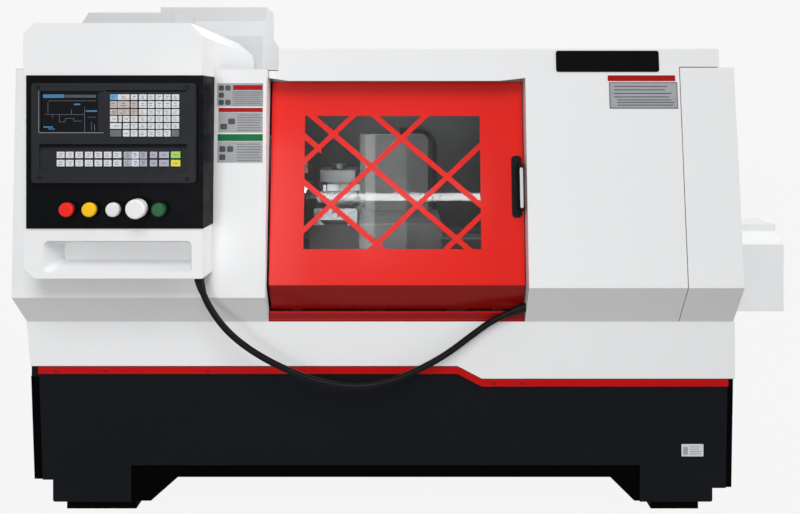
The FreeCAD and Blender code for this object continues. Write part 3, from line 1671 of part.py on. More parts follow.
def key_block(name, x, y, z, length, height, columns, rows):
    """A key mat: a thin plate whose keys stand between grooves."""
    mat = box(f"{name}_mat", (x, y - d.keys_plate - d.keys_rise, z),
              (length, d.keys_plate + d.keys_rise, height))
    grooves = []
    for number in range(1, columns):
        along = x + length / columns * number - d.key_groove / 2
        grooves.append(box(f"{name}_column_{number}", (along, y - d.keys_plate - d.keys_rise, z),
                           (d.key_groove, d.keys_rise, height)))
    for number in range(1, rows):
        up = z + height / rows * number - d.key_groove / 2
        grooves.append(box(f"{name}_row_{number}", (x, y - d.keys_plate - d.keys_rise, up),
                           (length, d.keys_rise, d.key_groove)))
    return cut(name, mat, *grooves)


def controller():
    """The controller: a frame with screen and key recesses, its screen and its key mats."""
    face = box_front - d.fascia_thick
    crown = face - d.frame_thick
    start = left + d.frame_left
    blank = prism("frame_blank", "y", crown, [
        (start, frame_bottom),
        (start + d.frame_length, frame_bottom),
        (start + d.frame_length, frame_bottom + d.frame_height),
        (start, frame_bottom + d.frame_height),
    ], d.frame_thick, (0, 1, 2, 3), d.frame_round)
    screen_hole = box("screen_recess", (left + d.screen_left, crown, screen_bottom),
                      (d.screen_length, d.screen_recess, d.screen_height))
    panel_hole = box("panel_recess", (left + d.panel_left, crown, panel_bottom),
                     (d.panel_length, d.panel_recess, d.panel_height))
    node("controller_frame", cut("controller_frame", blank, screen_hole, panel_hole))
    gap = d.screen_gap
    glass_y = crown + d.screen_recess - d.screen_thick
    node("lcd_screen", box("lcd_screen", (left + d.screen_left + gap, glass_y, screen_bottom + gap),
                           (d.screen_length - gap * 2, d.screen_thick, d.screen_height - gap * 2)))
    node("function_keys", key_block("function_keys", left + d.keys_left, crown, keys_bottom,
                                    d.keys_length, d.keys_height, SIZES["keys_columns"], SIZES["keys_rows"]))
    floor = crown + d.panel_recess
    rows = SIZES["panel_rows"]
    mats = [
        key_block("panel_keys", left + d.panel_keys_left, floor, panel_keys_bottom, d.panel_keys_length,
                  d.panel_keys_height, SIZES["panel_columns"], rows),
        key_block("jog_keys", left + d.jog_left, floor, panel_keys_bottom, d.jog_length,
                  d.panel_keys_height, SIZES["jog_columns"], rows),
        key_block("square_keys", left + d.square_left, floor, panel_keys_bottom, d.square_length,
                  d.panel_keys_height, SIZES["square_columns"], rows),
        key_block("start_keys", left + d.start_left, floor, panel_keys_bottom, d.start_length,
                  d.panel_keys_height, 1, rows),
    ]
    node("operation_keys", group("operation_keys", *mats))


def top_junction_box():
    """The low box on top of the control box, with one sloping end."""
    start = left + d.top_box_left
    points = [
        (start, box_top),
        (start + d.top_box_length, box_top),
        (start + d.top_box_length, box_top + d.top_box_height),
        (start + d.top_box_slope, box_top + d.top_box_height),
    ]
    node("top_junction_box", prism("top_junction_box", "y", front + d.top_box_depth, points, d.top_box_width))


def cabinet():
    """The electrical cabinet behind the headstock, whose head reaches over the top cover."""
    nose = rear - d.cabinet_nose
    node("electrical_cabinet", prism("electrical_cabinet", "x", left + d.cabinet_left, [
        (rear, d.base_top),
        (rear, d.guard_top),
        (nose, d.guard_top),
        (nose, cabinet_nose_top),
        (rear, cabinet_brow),
        (rear, cabinet_top),
        (rear + d.cabinet_crown, cabinet_top),
        (rear + d.cabinet_crown, cabinet_step),
        (rear + d.cabinet_slope_end, cabinet_slope_low),
        (back, cabinet_back_top),
        (back, d.base_top),
    ], d.cabinet_length))


def cable():
    """The hanging control cable: straight runs joined by tangent arcs, and a gland at each end."""
    share = SIZES["cable_bend_share"]
    points = [Vector(left.number + x, front.number + y, z) for x, y, z in CABLE_BENDS]
    edges = []
    start = points[0]
    for before, corner, after in zip(points, points[1:], points[2:]):
        arrive = (corner - before).normalize()
        leave = (after - corner).normalize()
        reach = share * min(before.distanceToPoint(corner), corner.distanceToPoint(after))
        half_turn = arrive.getAngle(leave) / 2
        radius = reach / math.tan(half_turn)
        print(f"cable bend radius {radius:.0f} mm")
        enter = corner - arrive * reach
        depart = corner + leave * reach
        middle = corner + (leave - arrive).normalize() * (radius / math.cos(half_turn) - radius)
        edges.append(Part.LineSegment(start, enter).toShape())
        edges.append(Part.Arc(enter, middle, depart).toShape())
        start = depart
    edges.append(Part.LineSegment(start, points[-1]).toShape())
    path = Part.Wire(edges)
    rim = Part.makeCircle(SIZES["cable_radius"], points[0], points[1] - points[0])
    tube = document.addObject("Part::Feature", "control_cable")
    tube.Shape = path.makePipeShell([Part.Wire([rim])], True, False)
    section = math.pi * SIZES["cable_radius"] ** 2
    full = tube.Shape.Volume / (section * path.Length)
    print(f"cable length {path.Length:.0f} mm, volume share {full:.4f}")
    node("control_cable", tube)
    lower = rod("box_gland", "z", (left + d.box_gland_place, front + d.box_gland_depth,
                                   box_bottom - d.gland_length), d.gland_radius, d.gland_length)
    upper = rod("guard_gland", "x", (left + d.right_guard_left - d.gland_length, front + d.guard_gland_depth,
                                     guard_gland_height), d.gland_radius, d.gland_length)
    node("cable_glands", group("cable_glands", lower, upper))


def write_nodes():
    """Checks every object and writes each finished sub-part to its own file."""
    document.recompute()
    for thing in document.Objects:
        for fault in ("Invalid", "Error"):
            if fault in thing.State:
                raise RuntimeError(f"{thing.Name} is {fault}")
    for thing in nodes:
        if thing.Shape.isNull() or not thing.Shape.isValid():
            raise RuntimeError(f"{thing.Label} has no valid shape")
    os.makedirs("parts", exist_ok=True)
    for thing in nodes:
        thing.Shape.exportStep(f"parts/{thing.Label}.step")


base_casting()
base_cover()
foot_pads()
stripe()
chip_tray()
bed()
headstock()
spindle()
chuck()
carriage()
drive_cover()
turret()
long_feed()
tailstock()
left_guards()
right_guards()
rear_guard()
top_hood()
end_motor_cover()
door()
door_handle()
door_rails()
control_box()
fascia()
buttons()
controller()
top_junction_box()
cabinet()
cable()
write_nodes()
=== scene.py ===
import math

import bmesh
import bpy
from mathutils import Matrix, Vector


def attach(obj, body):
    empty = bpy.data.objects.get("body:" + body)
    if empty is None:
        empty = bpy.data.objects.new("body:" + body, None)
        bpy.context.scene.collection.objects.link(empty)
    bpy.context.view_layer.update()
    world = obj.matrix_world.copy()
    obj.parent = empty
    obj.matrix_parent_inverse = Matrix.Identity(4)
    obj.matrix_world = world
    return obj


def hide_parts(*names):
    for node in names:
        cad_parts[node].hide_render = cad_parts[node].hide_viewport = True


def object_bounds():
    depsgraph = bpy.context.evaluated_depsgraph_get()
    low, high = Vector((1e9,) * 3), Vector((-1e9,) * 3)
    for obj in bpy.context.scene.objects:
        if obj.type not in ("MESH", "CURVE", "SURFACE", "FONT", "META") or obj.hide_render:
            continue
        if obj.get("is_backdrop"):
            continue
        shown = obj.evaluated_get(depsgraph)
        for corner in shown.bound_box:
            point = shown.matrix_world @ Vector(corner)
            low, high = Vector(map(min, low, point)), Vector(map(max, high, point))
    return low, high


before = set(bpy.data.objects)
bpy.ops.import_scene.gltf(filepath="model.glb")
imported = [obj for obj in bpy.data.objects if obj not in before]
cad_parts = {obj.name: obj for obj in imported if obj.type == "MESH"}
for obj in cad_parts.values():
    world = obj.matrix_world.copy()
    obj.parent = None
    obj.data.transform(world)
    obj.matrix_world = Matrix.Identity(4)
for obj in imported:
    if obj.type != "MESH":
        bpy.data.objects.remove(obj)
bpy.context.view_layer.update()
bpy.context.scene.view_settings.view_transform = "Standard"

# Places along the machine are measured from its left end; depths and heights are the row's own.
# All of them are millimetres here and become metres in at().
LEFT = -1098.75
MM = 0.001


def at(along, depth, height):
    return Vector(((LEFT + along) * MM, depth * MM, height * MM))


def upright(depth):
    """A front face that stands upright, as its depth at a height."""
    return lambda height: depth


def leaning(low, high):
    """A front face that leans from its low edge to its high edge, each (depth, height)."""
    return lambda height: low[0] + (high[0] - low[0]) * (height - low[1]) / (high[1] - low[1])


# The front faces that plates, keys, trim and the door's handle lie on. The door lies behind the face of the
# right guard by the inset, and its grip stands out from it by the reach.
LEFT_GUARD = leaning((-430.0, 613.0), (-409.0, 1232.0))
RIGHT_GUARD = leaning((-445.0, 643.0), (-379.0, 1288.0))
DOOR_INSET = 40.0
GRIP_REACH = 33.0
BASE_COVER = upright(-375.0)
TRAY_DEPTH = -380.0
SILL = upright(TRAY_DEPTH)
PANEL_DEPTH = -524.0
PANEL = upright(PANEL_DEPTH)
PANEL_INSET = upright(-520.0)


def door_front(height):
    return RIGHT_GUARD(height) + DOOR_INSET


def grip_face(height):
    return door_front(height) - GRIP_REACH


# ---------------------------------------------------------------- camera
EYE = (-0.05675, -2.310, 1.119)
LENS = 31.41
SENSOR = 36.0
SHIFT = -0.18375

camera = bpy.data.objects.new("camera", bpy.data.cameras.new("camera"))
bpy.context.scene.collection.objects.link(camera)
camera.location = EYE
camera.rotation_euler = (math.radians(90), 0, 0)
camera.data.sensor_width = SENSOR
camera.data.lens = LENS
camera.data.shift_y = SHIFT
camera.data.clip_start = 0.05
camera.data.clip_end = 60.0
bpy.context.scene.camera = camera


# ---------------------------------------------------------------- materials
# Noise values between these two carry the whole range of a colour or a gloss.
NOISE_LOW = 0.2
NOISE_HIGH = 0.8

# What all finishes share: the scale of the gloss's noise, the texture's depth, the reach of the darkening
# in hollows, which is soiling and painted shade both, and the share of the colour that is left in it, the
# half-width of the border of the painted shade at a height, the clear coat's roughness, and the samples of
# the darkening in hollows and of softened edges. Lengths are in metres.
GLOSS_SCALE = 28.0
TEXTURE_DEPTH = 0.0006
SOIL_AND_SHADE_REACH = 0.03
SOIL_AND_SHADE_SHARE = 0.25
SHADE_AT_FOOT_BLUR = 0.002
COAT_ROUGH = 0.12
SOFT_SAMPLES = 4


def links_of(material):
    tree = material.node_tree
    return tree.nodes, tree.links


def grain(nodes, links, scale, detail=3.0, stretch=(1, 1, 1)):
    """A noise in the object's own space, one unit to the metre."""
    place = nodes.new("ShaderNodeTexCoord")
    size = nodes.new("ShaderNodeMapping")
    size.inputs["Scale"].default_value = stretch
    noise = nodes.new("ShaderNodeTexNoise")
    noise.inputs["Scale"].default_value = scale
    noise.inputs["Detail"].default_value = detail
    links.new(place.outputs["Object"], size.inputs["Vector"])
    links.new(size.outputs["Vector"], noise.inputs["Vector"])
    return noise.outputs["Fac"]


def spread(nodes, links, value, low, high, from_low=NOISE_LOW, from_high=NOISE_HIGH):
    """The value's range laid over low to high, with no sharp ends."""
    scale = nodes.new("ShaderNodeMapRange")
    scale.interpolation_type = "SMOOTHSTEP"
    scale.inputs["From Min"].default_value = from_low
    scale.inputs["From Max"].default_value = from_high
    scale.inputs["To Min"].default_value = low
    scale.inputs["To Max"].default_value = high
    links.new(value, scale.inputs["Value"])
    return scale.outputs["Result"]


def darker(nodes, links, base, amount, colour, share):
    """The base colour, gone over to a share of the plain colour where the amount is high."""
    mix = nodes.new("ShaderNodeMix")
    mix.data_type = "RGBA"
    links.new(amount, mix.inputs["Factor"])
    links.new(base, mix.inputs["A"])
    mix.inputs["B"].default_value = (*[c * share for c in colour], 1)
    return mix.outputs["Result"]


def finish_of(name, colour, rough, metal=0.0, tint=0.05, tint_scale=3.0, bump=0.05, bump_scale=700.0,
              bump_stretch=(1, 1, 1), edge=1.2, coat=0.0, soil_and_shade=0.0, rough_vary=0.08, specular=0.5,
              painted_shade_at_foot=None):
    """A finish with uneven colour and gloss, a fine texture and softened edges.

    The edge is the radius of the softened edges in millimetres, and the darkening in the corners is soiling
    and painted shade both. The painted shade at the foot is a height in metres and the share of the colour
    that is left below it.
    """
    material = bpy.data.materials.new(name)
    material.use_nodes = True
    nodes, links = links_of(material)
    shader = nodes["Principled BSDF"]
    shader.inputs["Metallic"].default_value = metal
    shader.inputs["Coat Weight"].default_value = coat
    shader.inputs["Coat Roughness"].default_value = COAT_ROUGH
    shader.inputs["Specular IOR Level"].default_value = specular
    ramp = nodes.new("ShaderNodeValToRGB")
    ramp.color_ramp.interpolation = "EASE"
    ramp.color_ramp.elements[0].position = NOISE_LOW
    ramp.color_ramp.elements[1].position = NOISE_HIGH
    ramp.color_ramp.elements[0].color = (*[max(0.0, c * (1 - tint)) for c in colour], 1)
    ramp.color_ramp.elements[1].color = (*[min(1.0, c * (1 + tint)) for c in colour], 1)
    links.new(grain(nodes, links, tint_scale, 5.0), ramp.inputs["Fac"])
    base = ramp.outputs["Color"]
    # Darker in the hollows: soiling and painted shade both.
    if soil_and_shade:
        hollow = nodes.new("ShaderNodeAmbientOcclusion")
        hollow.samples = SOFT_SAMPLES
        hollow.inputs["Distance"].default_value = SOIL_AND_SHADE_REACH
        soil_and_shade_amount = spread(nodes, links, hollow.outputs["AO"], soil_and_shade, 0.0)
        base = darker(nodes, links, base, soil_and_shade_amount, colour, SOIL_AND_SHADE_SHARE)
    # Darker below the given height: a painted shade.
    if painted_shade_at_foot:
        height, share = painted_shade_at_foot
        place = nodes.new("ShaderNodeTexCoord")
        parts = nodes.new("ShaderNodeSeparateXYZ")
        links.new(place.outputs["Object"], parts.inputs["Vector"])
        below = spread(nodes, links, parts.outputs["Z"], 1.0, 0.0, height - SHADE_AT_FOOT_BLUR, height + SHADE_AT_FOOT_BLUR)
        base = darker(nodes, links, base, below, colour, share)
    links.new(base, shader.inputs["Base Color"])
    gloss = grain(nodes, links, GLOSS_SCALE, 4.0)
    low = max(0.03, rough - rough_vary)
    links.new(spread(nodes, links, gloss, low, min(1.0, rough + rough_vary)), shader.inputs["Roughness"])
    relief = nodes.new("ShaderNodeBump")
    relief.inputs["Strength"].default_value = bump
    relief.inputs["Distance"].default_value = TEXTURE_DEPTH
    links.new(grain(nodes, links, bump_scale, 2.0, bump_stretch), relief.inputs["Height"])
    if edge:
        soft = nodes.new("ShaderNodeBevel")
        soft.samples = SOFT_SAMPLES
        soft.inputs["Radius"].default_value = edge * MM
        links.new(soft.outputs["Normal"], relief.inputs["Normal"])
    links.new(relief.outputs["Normal"], shader.inputs["Normal"])
    return material


def clear_of(name):
    """A clear pane with faint smears on it."""
    material = bpy.data.materials.new(name)
    material.use_nodes = True
    nodes, links = links_of(material)
    shader = nodes["Principled BSDF"]
    shader.inputs["Transmission Weight"].default_value = 1.0
    shader.inputs["IOR"].default_value = 1.28
    tone = nodes.new("ShaderNodeValToRGB")
    tone.color_ramp.elements[0].color = (0.86, 0.89, 0.89, 1)
    tone.color_ramp.elements[1].color = (0.94, 0.96, 0.96, 1)
    links.new(grain(nodes, links, 2.5, 4.0), tone.inputs["Fac"])
    links.new(tone.outputs["Color"], shader.inputs["Base Color"])
    smear = spread(nodes, links, grain(nodes, links, 6.0, 5.0, (1, 1, 4)), 0.0, 0.05)
    links.new(smear, shader.inputs["Roughness"])
    return material


def glow_of(name, colour, strength):
    """A lit mark on the screen, a little uneven as a backlight is."""
    material = finish_of(name, colour, 0.3, tint=0.08, tint_scale=40.0, bump=0.02, edge=0.0)
    shader = material.node_tree.nodes["Principled BSDF"]
    shader.inputs["Emission Color"].default_value = (*colour, 1)
    shader.inputs["Emission Strength"].default_value = strength
    return material


# What the finishes of one kind have in common.
# The housing paints darken a little in their hollows, as soiling and painted shade both.
HOUSING = dict(tint_scale=1.5, bump_scale=900, edge=1.8, soil_and_shade=0.12, rough_vary=0.04, specular=0.22)
TRIM = dict(bump=0.06, edge=1.0)
PRINT = dict(tint_scale=60, edge=0.3)
MARKS = dict(tint=0.2, tint_scale=400, bump=0.02, edge=0.0)
KEYS = dict(tint_scale=90, bump=0.10, edge=0.4)

PAINT = finish_of("body_paint", (0.79, 0.795, 0.80), 0.36, tint=0.012, coat=0.12, **HOUSING)
# The cabinet and the junction box take darker copies of the body paint, a painted shade for the back, where
# less light reaches.
CABINET_SHADED = finish_of("cabinet_paint_shaded", (0.67, 0.675, 0.685), 0.38, tint=0.015, coat=0.1, **HOUSING)
JUNCTION_SHADED = finish_of("junction_paint_shaded", (0.55, 0.555, 0.565), 0.38, tint=0.015, coat=0.1, **HOUSING)
HOOD = finish_of("hood_paint", (0.74, 0.745, 0.755), 0.38, tint=0.015, coat=0.1, **HOUSING)
# The door's red darkens below its bevel's top edge, a painted shade for the bevel at the door's foot.
RED = finish_of("red_paint", (0.76, 0.014, 0.008), 0.30, tint=0.015, tint_scale=1.2, bump=0.04,
                bump_scale=900, coat=0.08, edge=1.6, soil_and_shade=0.2, rough_vary=0.02, specular=0.14,
                painted_shade_at_foot=(0.6405, 0.34))
# The sill, its rails and the stripe's screws take a dark red, darkened in part as painted shade below the
# door.
SILL_RED_SHADED = finish_of("sill_red_shaded", (0.20, 0.003, 0.003), 0.36, specular=0.2, **TRIM)
# The stripe takes a darker copy of the door's red, a painted shade under the tray's edge; the ribs on the
# sill take it too.
STRIPE_SHADED = finish_of("stripe_red_shaded", (0.46, 0.005, 0.005), 0.36, soil_and_shade=0.3, specular=0.1, **TRIM)
UNDER = finish_of("base_black", (0.0010, 0.0011, 0.0013), 0.55, tint=0.2, bump=0.2, bump_scale=420,
                  edge=1.8, specular=0.01)
BASE = finish_of("base_paint", (0.0058, 0.0064, 0.0084), 0.50, tint=0.10, bump=0.16, bump_scale=520,
                 edge=1.8, specular=0.05)
IRON = finish_of("foot_iron", (0.0012, 0.0012, 0.0014), 0.70, tint=0.2, bump=0.4, bump_scale=260,
                 specular=0.02)
BLACK = finish_of("fascia_black", (0.0036, 0.0040, 0.0046), 0.36, tint=0.06, bump=0.06, bump_scale=900,
                  edge=0.8, specular=0.03)
BEZEL = finish_of("frame_grey", (0.0180, 0.0190, 0.0230), 0.45, bump=0.14, bump_scale=1100,
                  specular=0.08)
SCREEN = finish_of("screen_black", (0.0016, 0.002, 0.003), 0.16, bump=0.01, bump_scale=300, edge=0.4,
                   rough_vary=0.03, specular=0.12)
CASTING = finish_of("casting_paint", (0.15, 0.155, 0.16), 0.40, tint=0.08, bump=0.30, bump_scale=220,
                    edge=2.0, soil_and_shade=0.6)
# The rear sheet inside takes a much darker colour than the outer paint, a painted shade for the dim inside
# of the enclosure.
LINER_SHADED = finish_of("liner_steel_shaded", (0.032, 0.033, 0.035), 0.34, metal=0.3, tint=0.10, tint_scale=6.0,
                  bump_scale=160, bump_stretch=(1, 8, 8), edge=2.0, soil_and_shade=0.4, rough_vary=0.02)
WAYS = finish_of("way_iron", (0.22, 0.225, 0.23), 0.34, metal=0.85, tint=0.10, bump=0.12, bump_scale=90,
                 bump_stretch=(1, 12, 12), edge=1.0, soil_and_shade=0.5)
STEEL = finish_of("ground_steel", (0.46, 0.47, 0.475), 0.24, metal=1.0, tint=0.06, bump=0.10,
                  bump_scale=120, bump_stretch=(14, 1, 1), edge=0.8, soil_and_shade=0.4)
BRIGHT = finish_of("bright_steel", (0.68, 0.69, 0.70), 0.14, metal=1.0, tint=0.04, bump=0.04,
                   bump_scale=300, edge=0.6)
# The drive cover and the door's top rail take a dark grey, darkened in part as painted shade for the dim
# inside and for the gap above the door.
COVER_SHADED = finish_of("cover_paint", (0.18, 0.184, 0.188), 0.36, tint=0.04, bump=0.12, bump_scale=400,
                  edge=2.0, soil_and_shade=0.5)
NYLON = finish_of("roller_nylon", (0.030, 0.030, 0.032), 0.5, bump=0.1, bump_scale=400, edge=0.6)
GRIP_BLACK = finish_of("grip_black", (0.006, 0.006, 0.0065), 0.36, tint=0.1, bump=0.2, bump_scale=900,
                       edge=1.0, specular=0.1)
GRIP_GREY = finish_of("grip_grey", (0.62, 0.64, 0.65), 0.28, bump=0.1, bump_scale=600, edge=1.5)
RUBBER = finish_of("cable_rubber", (0.0028, 0.0028, 0.0033), 0.42, tint=0.2, bump=0.25, bump_scale=500,
                   edge=0.0, rough_vary=0.10, specular=0.10)
PANE = clear_of("window_pane")

PLATE = finish_of("plate_grey", (0.34, 0.35, 0.365), 0.34, specular=0.2, **PRINT)
PLATE_EDGE = finish_of("plate_edge", (0.13, 0.135, 0.145), 0.4, tint=0.06, **PRINT)
PLATE_RED = finish_of("plate_red", (0.36, 0.005, 0.008), 0.40, specular=0.1, **PRINT)
PLATE_GREEN = finish_of("plate_green", (0.003, 0.15, 0.045), 0.40, specular=0.1, **PRINT)
PLATE_PALE = finish_of("plate_pale", (0.62, 0.63, 0.64), 0.34, tint=0.04, **PRINT)
INK = finish_of("plate_ink", (0.028, 0.030, 0.034), 0.5, **MARKS)
SIGN = finish_of("sign_black", (0.0035, 0.0035, 0.0042), 0.32, tint=0.08, bump=0.03, edge=0.6,
                 rough_vary=0.02, specular=0.03)
KEY = finish_of("key_grey", (0.60, 0.61, 0.63), 0.42, **KEYS)
KEY_SHADE = finish_of("key_shade", (0.34, 0.34, 0.42), 0.42, **KEYS)
KEY_BLUE = finish_of("key_blue", (0.075, 0.34, 0.62), 0.42, **KEYS)
KEY_WARM = finish_of("key_warm", (0.44, 0.39, 0.36), 0.42, tint=0.10, **KEYS)
KEY_DARK = finish_of("key_dark", (0.075, 0.078, 0.085), 0.42, tint=0.10, **KEYS)
KEY_LIME = finish_of("key_lime", (0.26, 0.55, 0.05), 0.40, **KEYS)
KEY_YELLOW = finish_of("key_yellow", (0.62, 0.56, 0.004), 0.40, **KEYS)
KEY_INK = finish_of("key_ink", (0.060, 0.062, 0.070), 0.5, **MARKS)
KEY_FINISHES = [KEY, KEY_SHADE, KEY_BLUE, KEY_WARM, KEY_DARK, KEY_LIME, KEY_YELLOW, KEY_INK]
GLOW_BLUE = glow_of("glow_blue", (0.02, 0.12, 0.26), 0.30)
GLOW_LINE = glow_of("glow_line", (0.05, 0.066, 0.09), 0.24)
GLOW_GREY = glow_of("glow_grey", (0.026, 0.034, 0.045), 0.24)

BUTTON = {
    name: finish_of(name, colour, rough, tint=tint, bump=0.03, edge=0.8, specular=specular)
    for name, colour, rough, tint, specular in (
        ("button_red", (0.82, 0.012, 0.006), 0.26, 0.06, 0.25),
        ("button_yellow", (0.90, 0.52, 0.004), 0.26, 0.06, 0.25),
        ("button_white", (0.76, 0.76, 0.76), 0.28, 0.04, 0.30),
        ("button_large", (0.78, 0.78, 0.78), 0.28, 0.04, 0.30),
        ("button_green", (0.0006, 0.085, 0.024), 0.28, 0.08, 0.20),
    )
}

NODE_FINISH = {
    "base_casting": UNDER, "base_front_cover": BASE, "foot_pads": IRON, "stripe_trim": STRIPE_SHADED,
    "chip_tray": PAINT, "bed": WAYS, "headstock_casing": CASTING, "spindle": STEEL, "chuck_body": STEEL,
    "chuck_jaw_1": BRIGHT, "chuck_jaw_2": BRIGHT, "chuck_jaw_3": BRIGHT, "saddle": CASTING,
    "cross_slide": STEEL, "screw_x": BRIGHT, "drive_cover": COVER_SHADED, "conduit": RUBBER,
    "turret_base": CASTING, "turret_head": WAYS, "tool_bits": BRIGHT, "screw_blocks": CASTING,
    "screw_z": BRIGHT, "motor_z": BLACK, "tailstock_body": CASTING, "quill": BRIGHT,
    "tail_handwheel": BRIGHT, "left_guard": PAINT, "left_end_guard": PAINT, "headstock_cover": HOOD,
    "right_guard": PAINT, "right_end_guard": PAINT, "rear_guard": LINER_SHADED, "top_hood": HOOD,
    "end_motor_cover": PAINT, "door_panel": RED, "door_window": PANE, "door_roller_left": NYLON,
    "door_roller_right": NYLON, "handle_plate": GRIP_BLACK, "handle_grip": GRIP_BLACK,
    "door_bottom_rail": SILL_RED_SHADED, "door_sill": SILL_RED_SHADED, "door_top_rail": COVER_SHADED, "control_box": PAINT,
    "control_fascia": BLACK, "button_bezels": BEZEL, "controller_frame": BEZEL, "lcd_screen": SCREEN,
    "function_keys": BLACK, "operation_keys": BLACK, "top_junction_box": JUNCTION_SHADED,
    "electrical_cabinet": CABINET_SHADED, "cable_glands": GRIP_BLACK, "control_cable": RUBBER, **BUTTON,
}
for node, finish in NODE_FINISH.items():
    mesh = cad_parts[node].data
    mesh.materials.clear()
    mesh.materials.append(finish)


# ---------------------------------------------------------------- making pieces
def piece_from(name, mesh_tool, finishes, body):
    """A smooth-shaded piece made of what the mesh tool holds, riding on a body."""
    mesh = bpy.data.meshes.new(name)
    mesh_tool.to_mesh(mesh)
    mesh_tool.free()
    for finish in finishes:
        mesh.materials.append(finish)
    for face in mesh.polygons:
        face.use_smooth = True
    thing = bpy.data.objects.new(name, mesh)
    bpy.context.scene.collection.objects.link(thing)
    weighted = thing.modifiers.new("normals", "WEIGHTED_NORMAL")
    weighted.keep_sharp = True
    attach(thing, body)
    return thing


def close_rings(tool, rings, index=0):
    """Skin over rings of as many points each, with a flat face on the first and the last."""
    count = len(rings[0])
    made = []
    for ring, after in zip(rings, rings[1:]):
        for step in range(count):
            following = (step + 1) % count
            made.append(tool.faces.new((ring[step], ring[following], after[following], after[step])))
    made.append(tool.faces.new(rings[0]))
    made.append(tool.faces.new(rings[-1]))
    for face in made:
        face.material_index = index
    bmesh.ops.recalc_face_normals(tool, faces=made)


def turns(count):
    """Evenly spaced angles of a full turn."""
    return [2 * math.pi * step / count for step in range(count)]


def add_screw_heads(tool, centres, profile, steps):
    """Turned heads that face the front: the profile is (depth from the centre, radius) in millimetres."""
    for centre in centres:
        rings = []
        for out, radius in profile:
            rings.append([tool.verts.new(centre + Vector((radius * math.cos(turn) * MM, out * MM,
                                                          radius * math.sin(turn) * MM)))
                          for turn in turns(steps)])
        close_rings(tool, rings)


def rounded(low, high, radius, steps):
    """Corners of a rounded rectangle between (along, height) corners, in millimetres."""
    points = []
    corners = ((high[0], high[1]), (low[0], high[1]), (low[0], low[1]), (high[0], low[1]))
    for corner, (x, z) in enumerate(corners):
        centre_x = x - radius if corner in (0, 3) else x + radius
        centre_z = z - radius if corner in (0, 1) else z + radius
        for step in range(steps + 1):
            angle = math.pi / 2 * (corner + step / steps)
            points.append((centre_x + radius * math.cos(angle), centre_z + radius * math.sin(angle)))
    return points


def add_panel(tool, face, low, high, rise, radius=1.0, foot=0.0, edge=0.3, index=0, steps=2):
    """A flat piece that follows a front face: from foot to rise in front of it, with a softened rim."""
    rings = []
    for inset, out in ((0.0, foot), (0.0, rise - edge), (edge, rise)):
        shape = rounded((low[0] + inset, low[1] + inset), (high[0] - inset, high[1] - inset),
                        max(radius - inset, radius * 0.3), steps)
        rings.append([tool.verts.new(at(along, face(height) - out, height)) for along, height in shape])
    close_rings(tool, rings, index)


def add_lines(tool, face, low, high, rows, rise, index, thick=1.2, ragged=0.0):
    """Plain ruled lines, one above the other, that end at uneven places."""
    for row in range(rows):
        height = low[1] + (high[1] - low[1]) * (row + 0.5) / rows
        short = ragged * (high[0] - low[0]) * ((row * 5 + 3) % 7) / 7
        add_panel(tool, face, (low[0], height - thick / 2), (high[0] - short, height + thick / 2), rise,
                  radius=0.3, edge=0.1, index=index, steps=1)


# ---------------------------------------------------------------- the control cable
CABLE = (
    (512.6, -470.0, 674.0), (519.0, -469.4, 640.0), (549.0, -466.7, 580.0), (592.0, -462.7, 525.0),
    (655.0, -456.9, 474.0), (735.0, -449.5, 428.0), (825.0, -441.2, 390.0), (925.0, -432.0, 371.5),
    (1015.0, -423.7, 384.0), (1095.0, -416.3, 414.5), (1170.0, -409.4, 454.0), (1240.0, -403.0, 505.0),
    (1308.0, -396.7, 551.0), (1381.0, -390.0, 576.0),
)
line = bpy.data.curves.new("control_lead", "CURVE")
line.dimensions = "3D"
line.bevel_depth = 0.0085
line.bevel_resolution = 6
line.resolution_u = 16
line.use_fill_caps = True
spline = line.splines.new("NURBS")
spline.points.add(len(CABLE) - 1)
for point, place in zip(spline.points, CABLE):
    point.co = (*at(*place), 1)
spline.order_u = 3
spline.use_endpoint_u = True
line.materials.append(RUBBER)
lead = bpy.data.objects.new("control_lead", line)
bpy.context.scene.collection.objects.link(lead)
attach(lead, "enclosure")
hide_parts("control_cable")

# A strain relief has this many rings to a rib and points to a ring, and grooves of this depth in metres.
RINGS_TO_A_RIB = 4
POINTS_TO_A_RING = 32
GROOVE = 0.0011


def path_of(curve):
    """The points that a curve's spline runs through, in metres."""
    bare = curve.copy()
    bare.bevel_depth = 0.0
    bare.use_fill_caps = False
    holder = bpy.data.objects.new("path", bare)
    mesh = bpy.data.meshes.new_from_object(holder)
    points = [vertex.co.copy() for vertex in mesh.vertices]
    bpy.data.objects.remove(holder)
    bpy.data.curves.remove(bare)
    bpy.data.meshes.remove(mesh)
    return points


def relief_along(name, points, length, wide, narrow, ribs):
    """A ribbed strain relief that tapers along the first points of a line."""
    places = [0.0]
    for before, after in zip(points, points[1:]):
        places.append(places[-1] + (after - before).length)
    tool = bmesh.new()
    rings = []
    stations = ribs * RINGS_TO_A_RIB
    for station in range(stations + 1):
        reach = length * station / stations
        spot = next(number for number in range(1, len(places)) if places[number] >= reach)
        share = (reach - places[spot - 1]) / (places[spot] - places[spot - 1])
        centre = points[spot - 1].lerp(points[spot], share)
        along = (points[spot] - points[spot - 1]).normalized()
        side = along.cross(Vector((0, 1, 0))).normalized()
        up = side.cross(along)
        radius = wide + (narrow - wide) * station / stations
        if station % RINGS_TO_A_RIB >= 2:
            radius -= GROOVE
        rings.append([tool.verts.new(centre + side * radius * math.cos(turn) + up * radius * math.sin(turn))
                      for turn in turns(POINTS_TO_A_RING)])
    close_rings(tool, rings)
    return piece_from(name, tool, [GRIP_BLACK], "enclosure")


route = path_of(line)
relief = relief_along("lead_relief", route, 0.036, 0.0135, 0.0102, 6)
far_relief = relief_along("lead_far_relief", route[::-1], 0.034, 0.0130, 0.0102, 6)

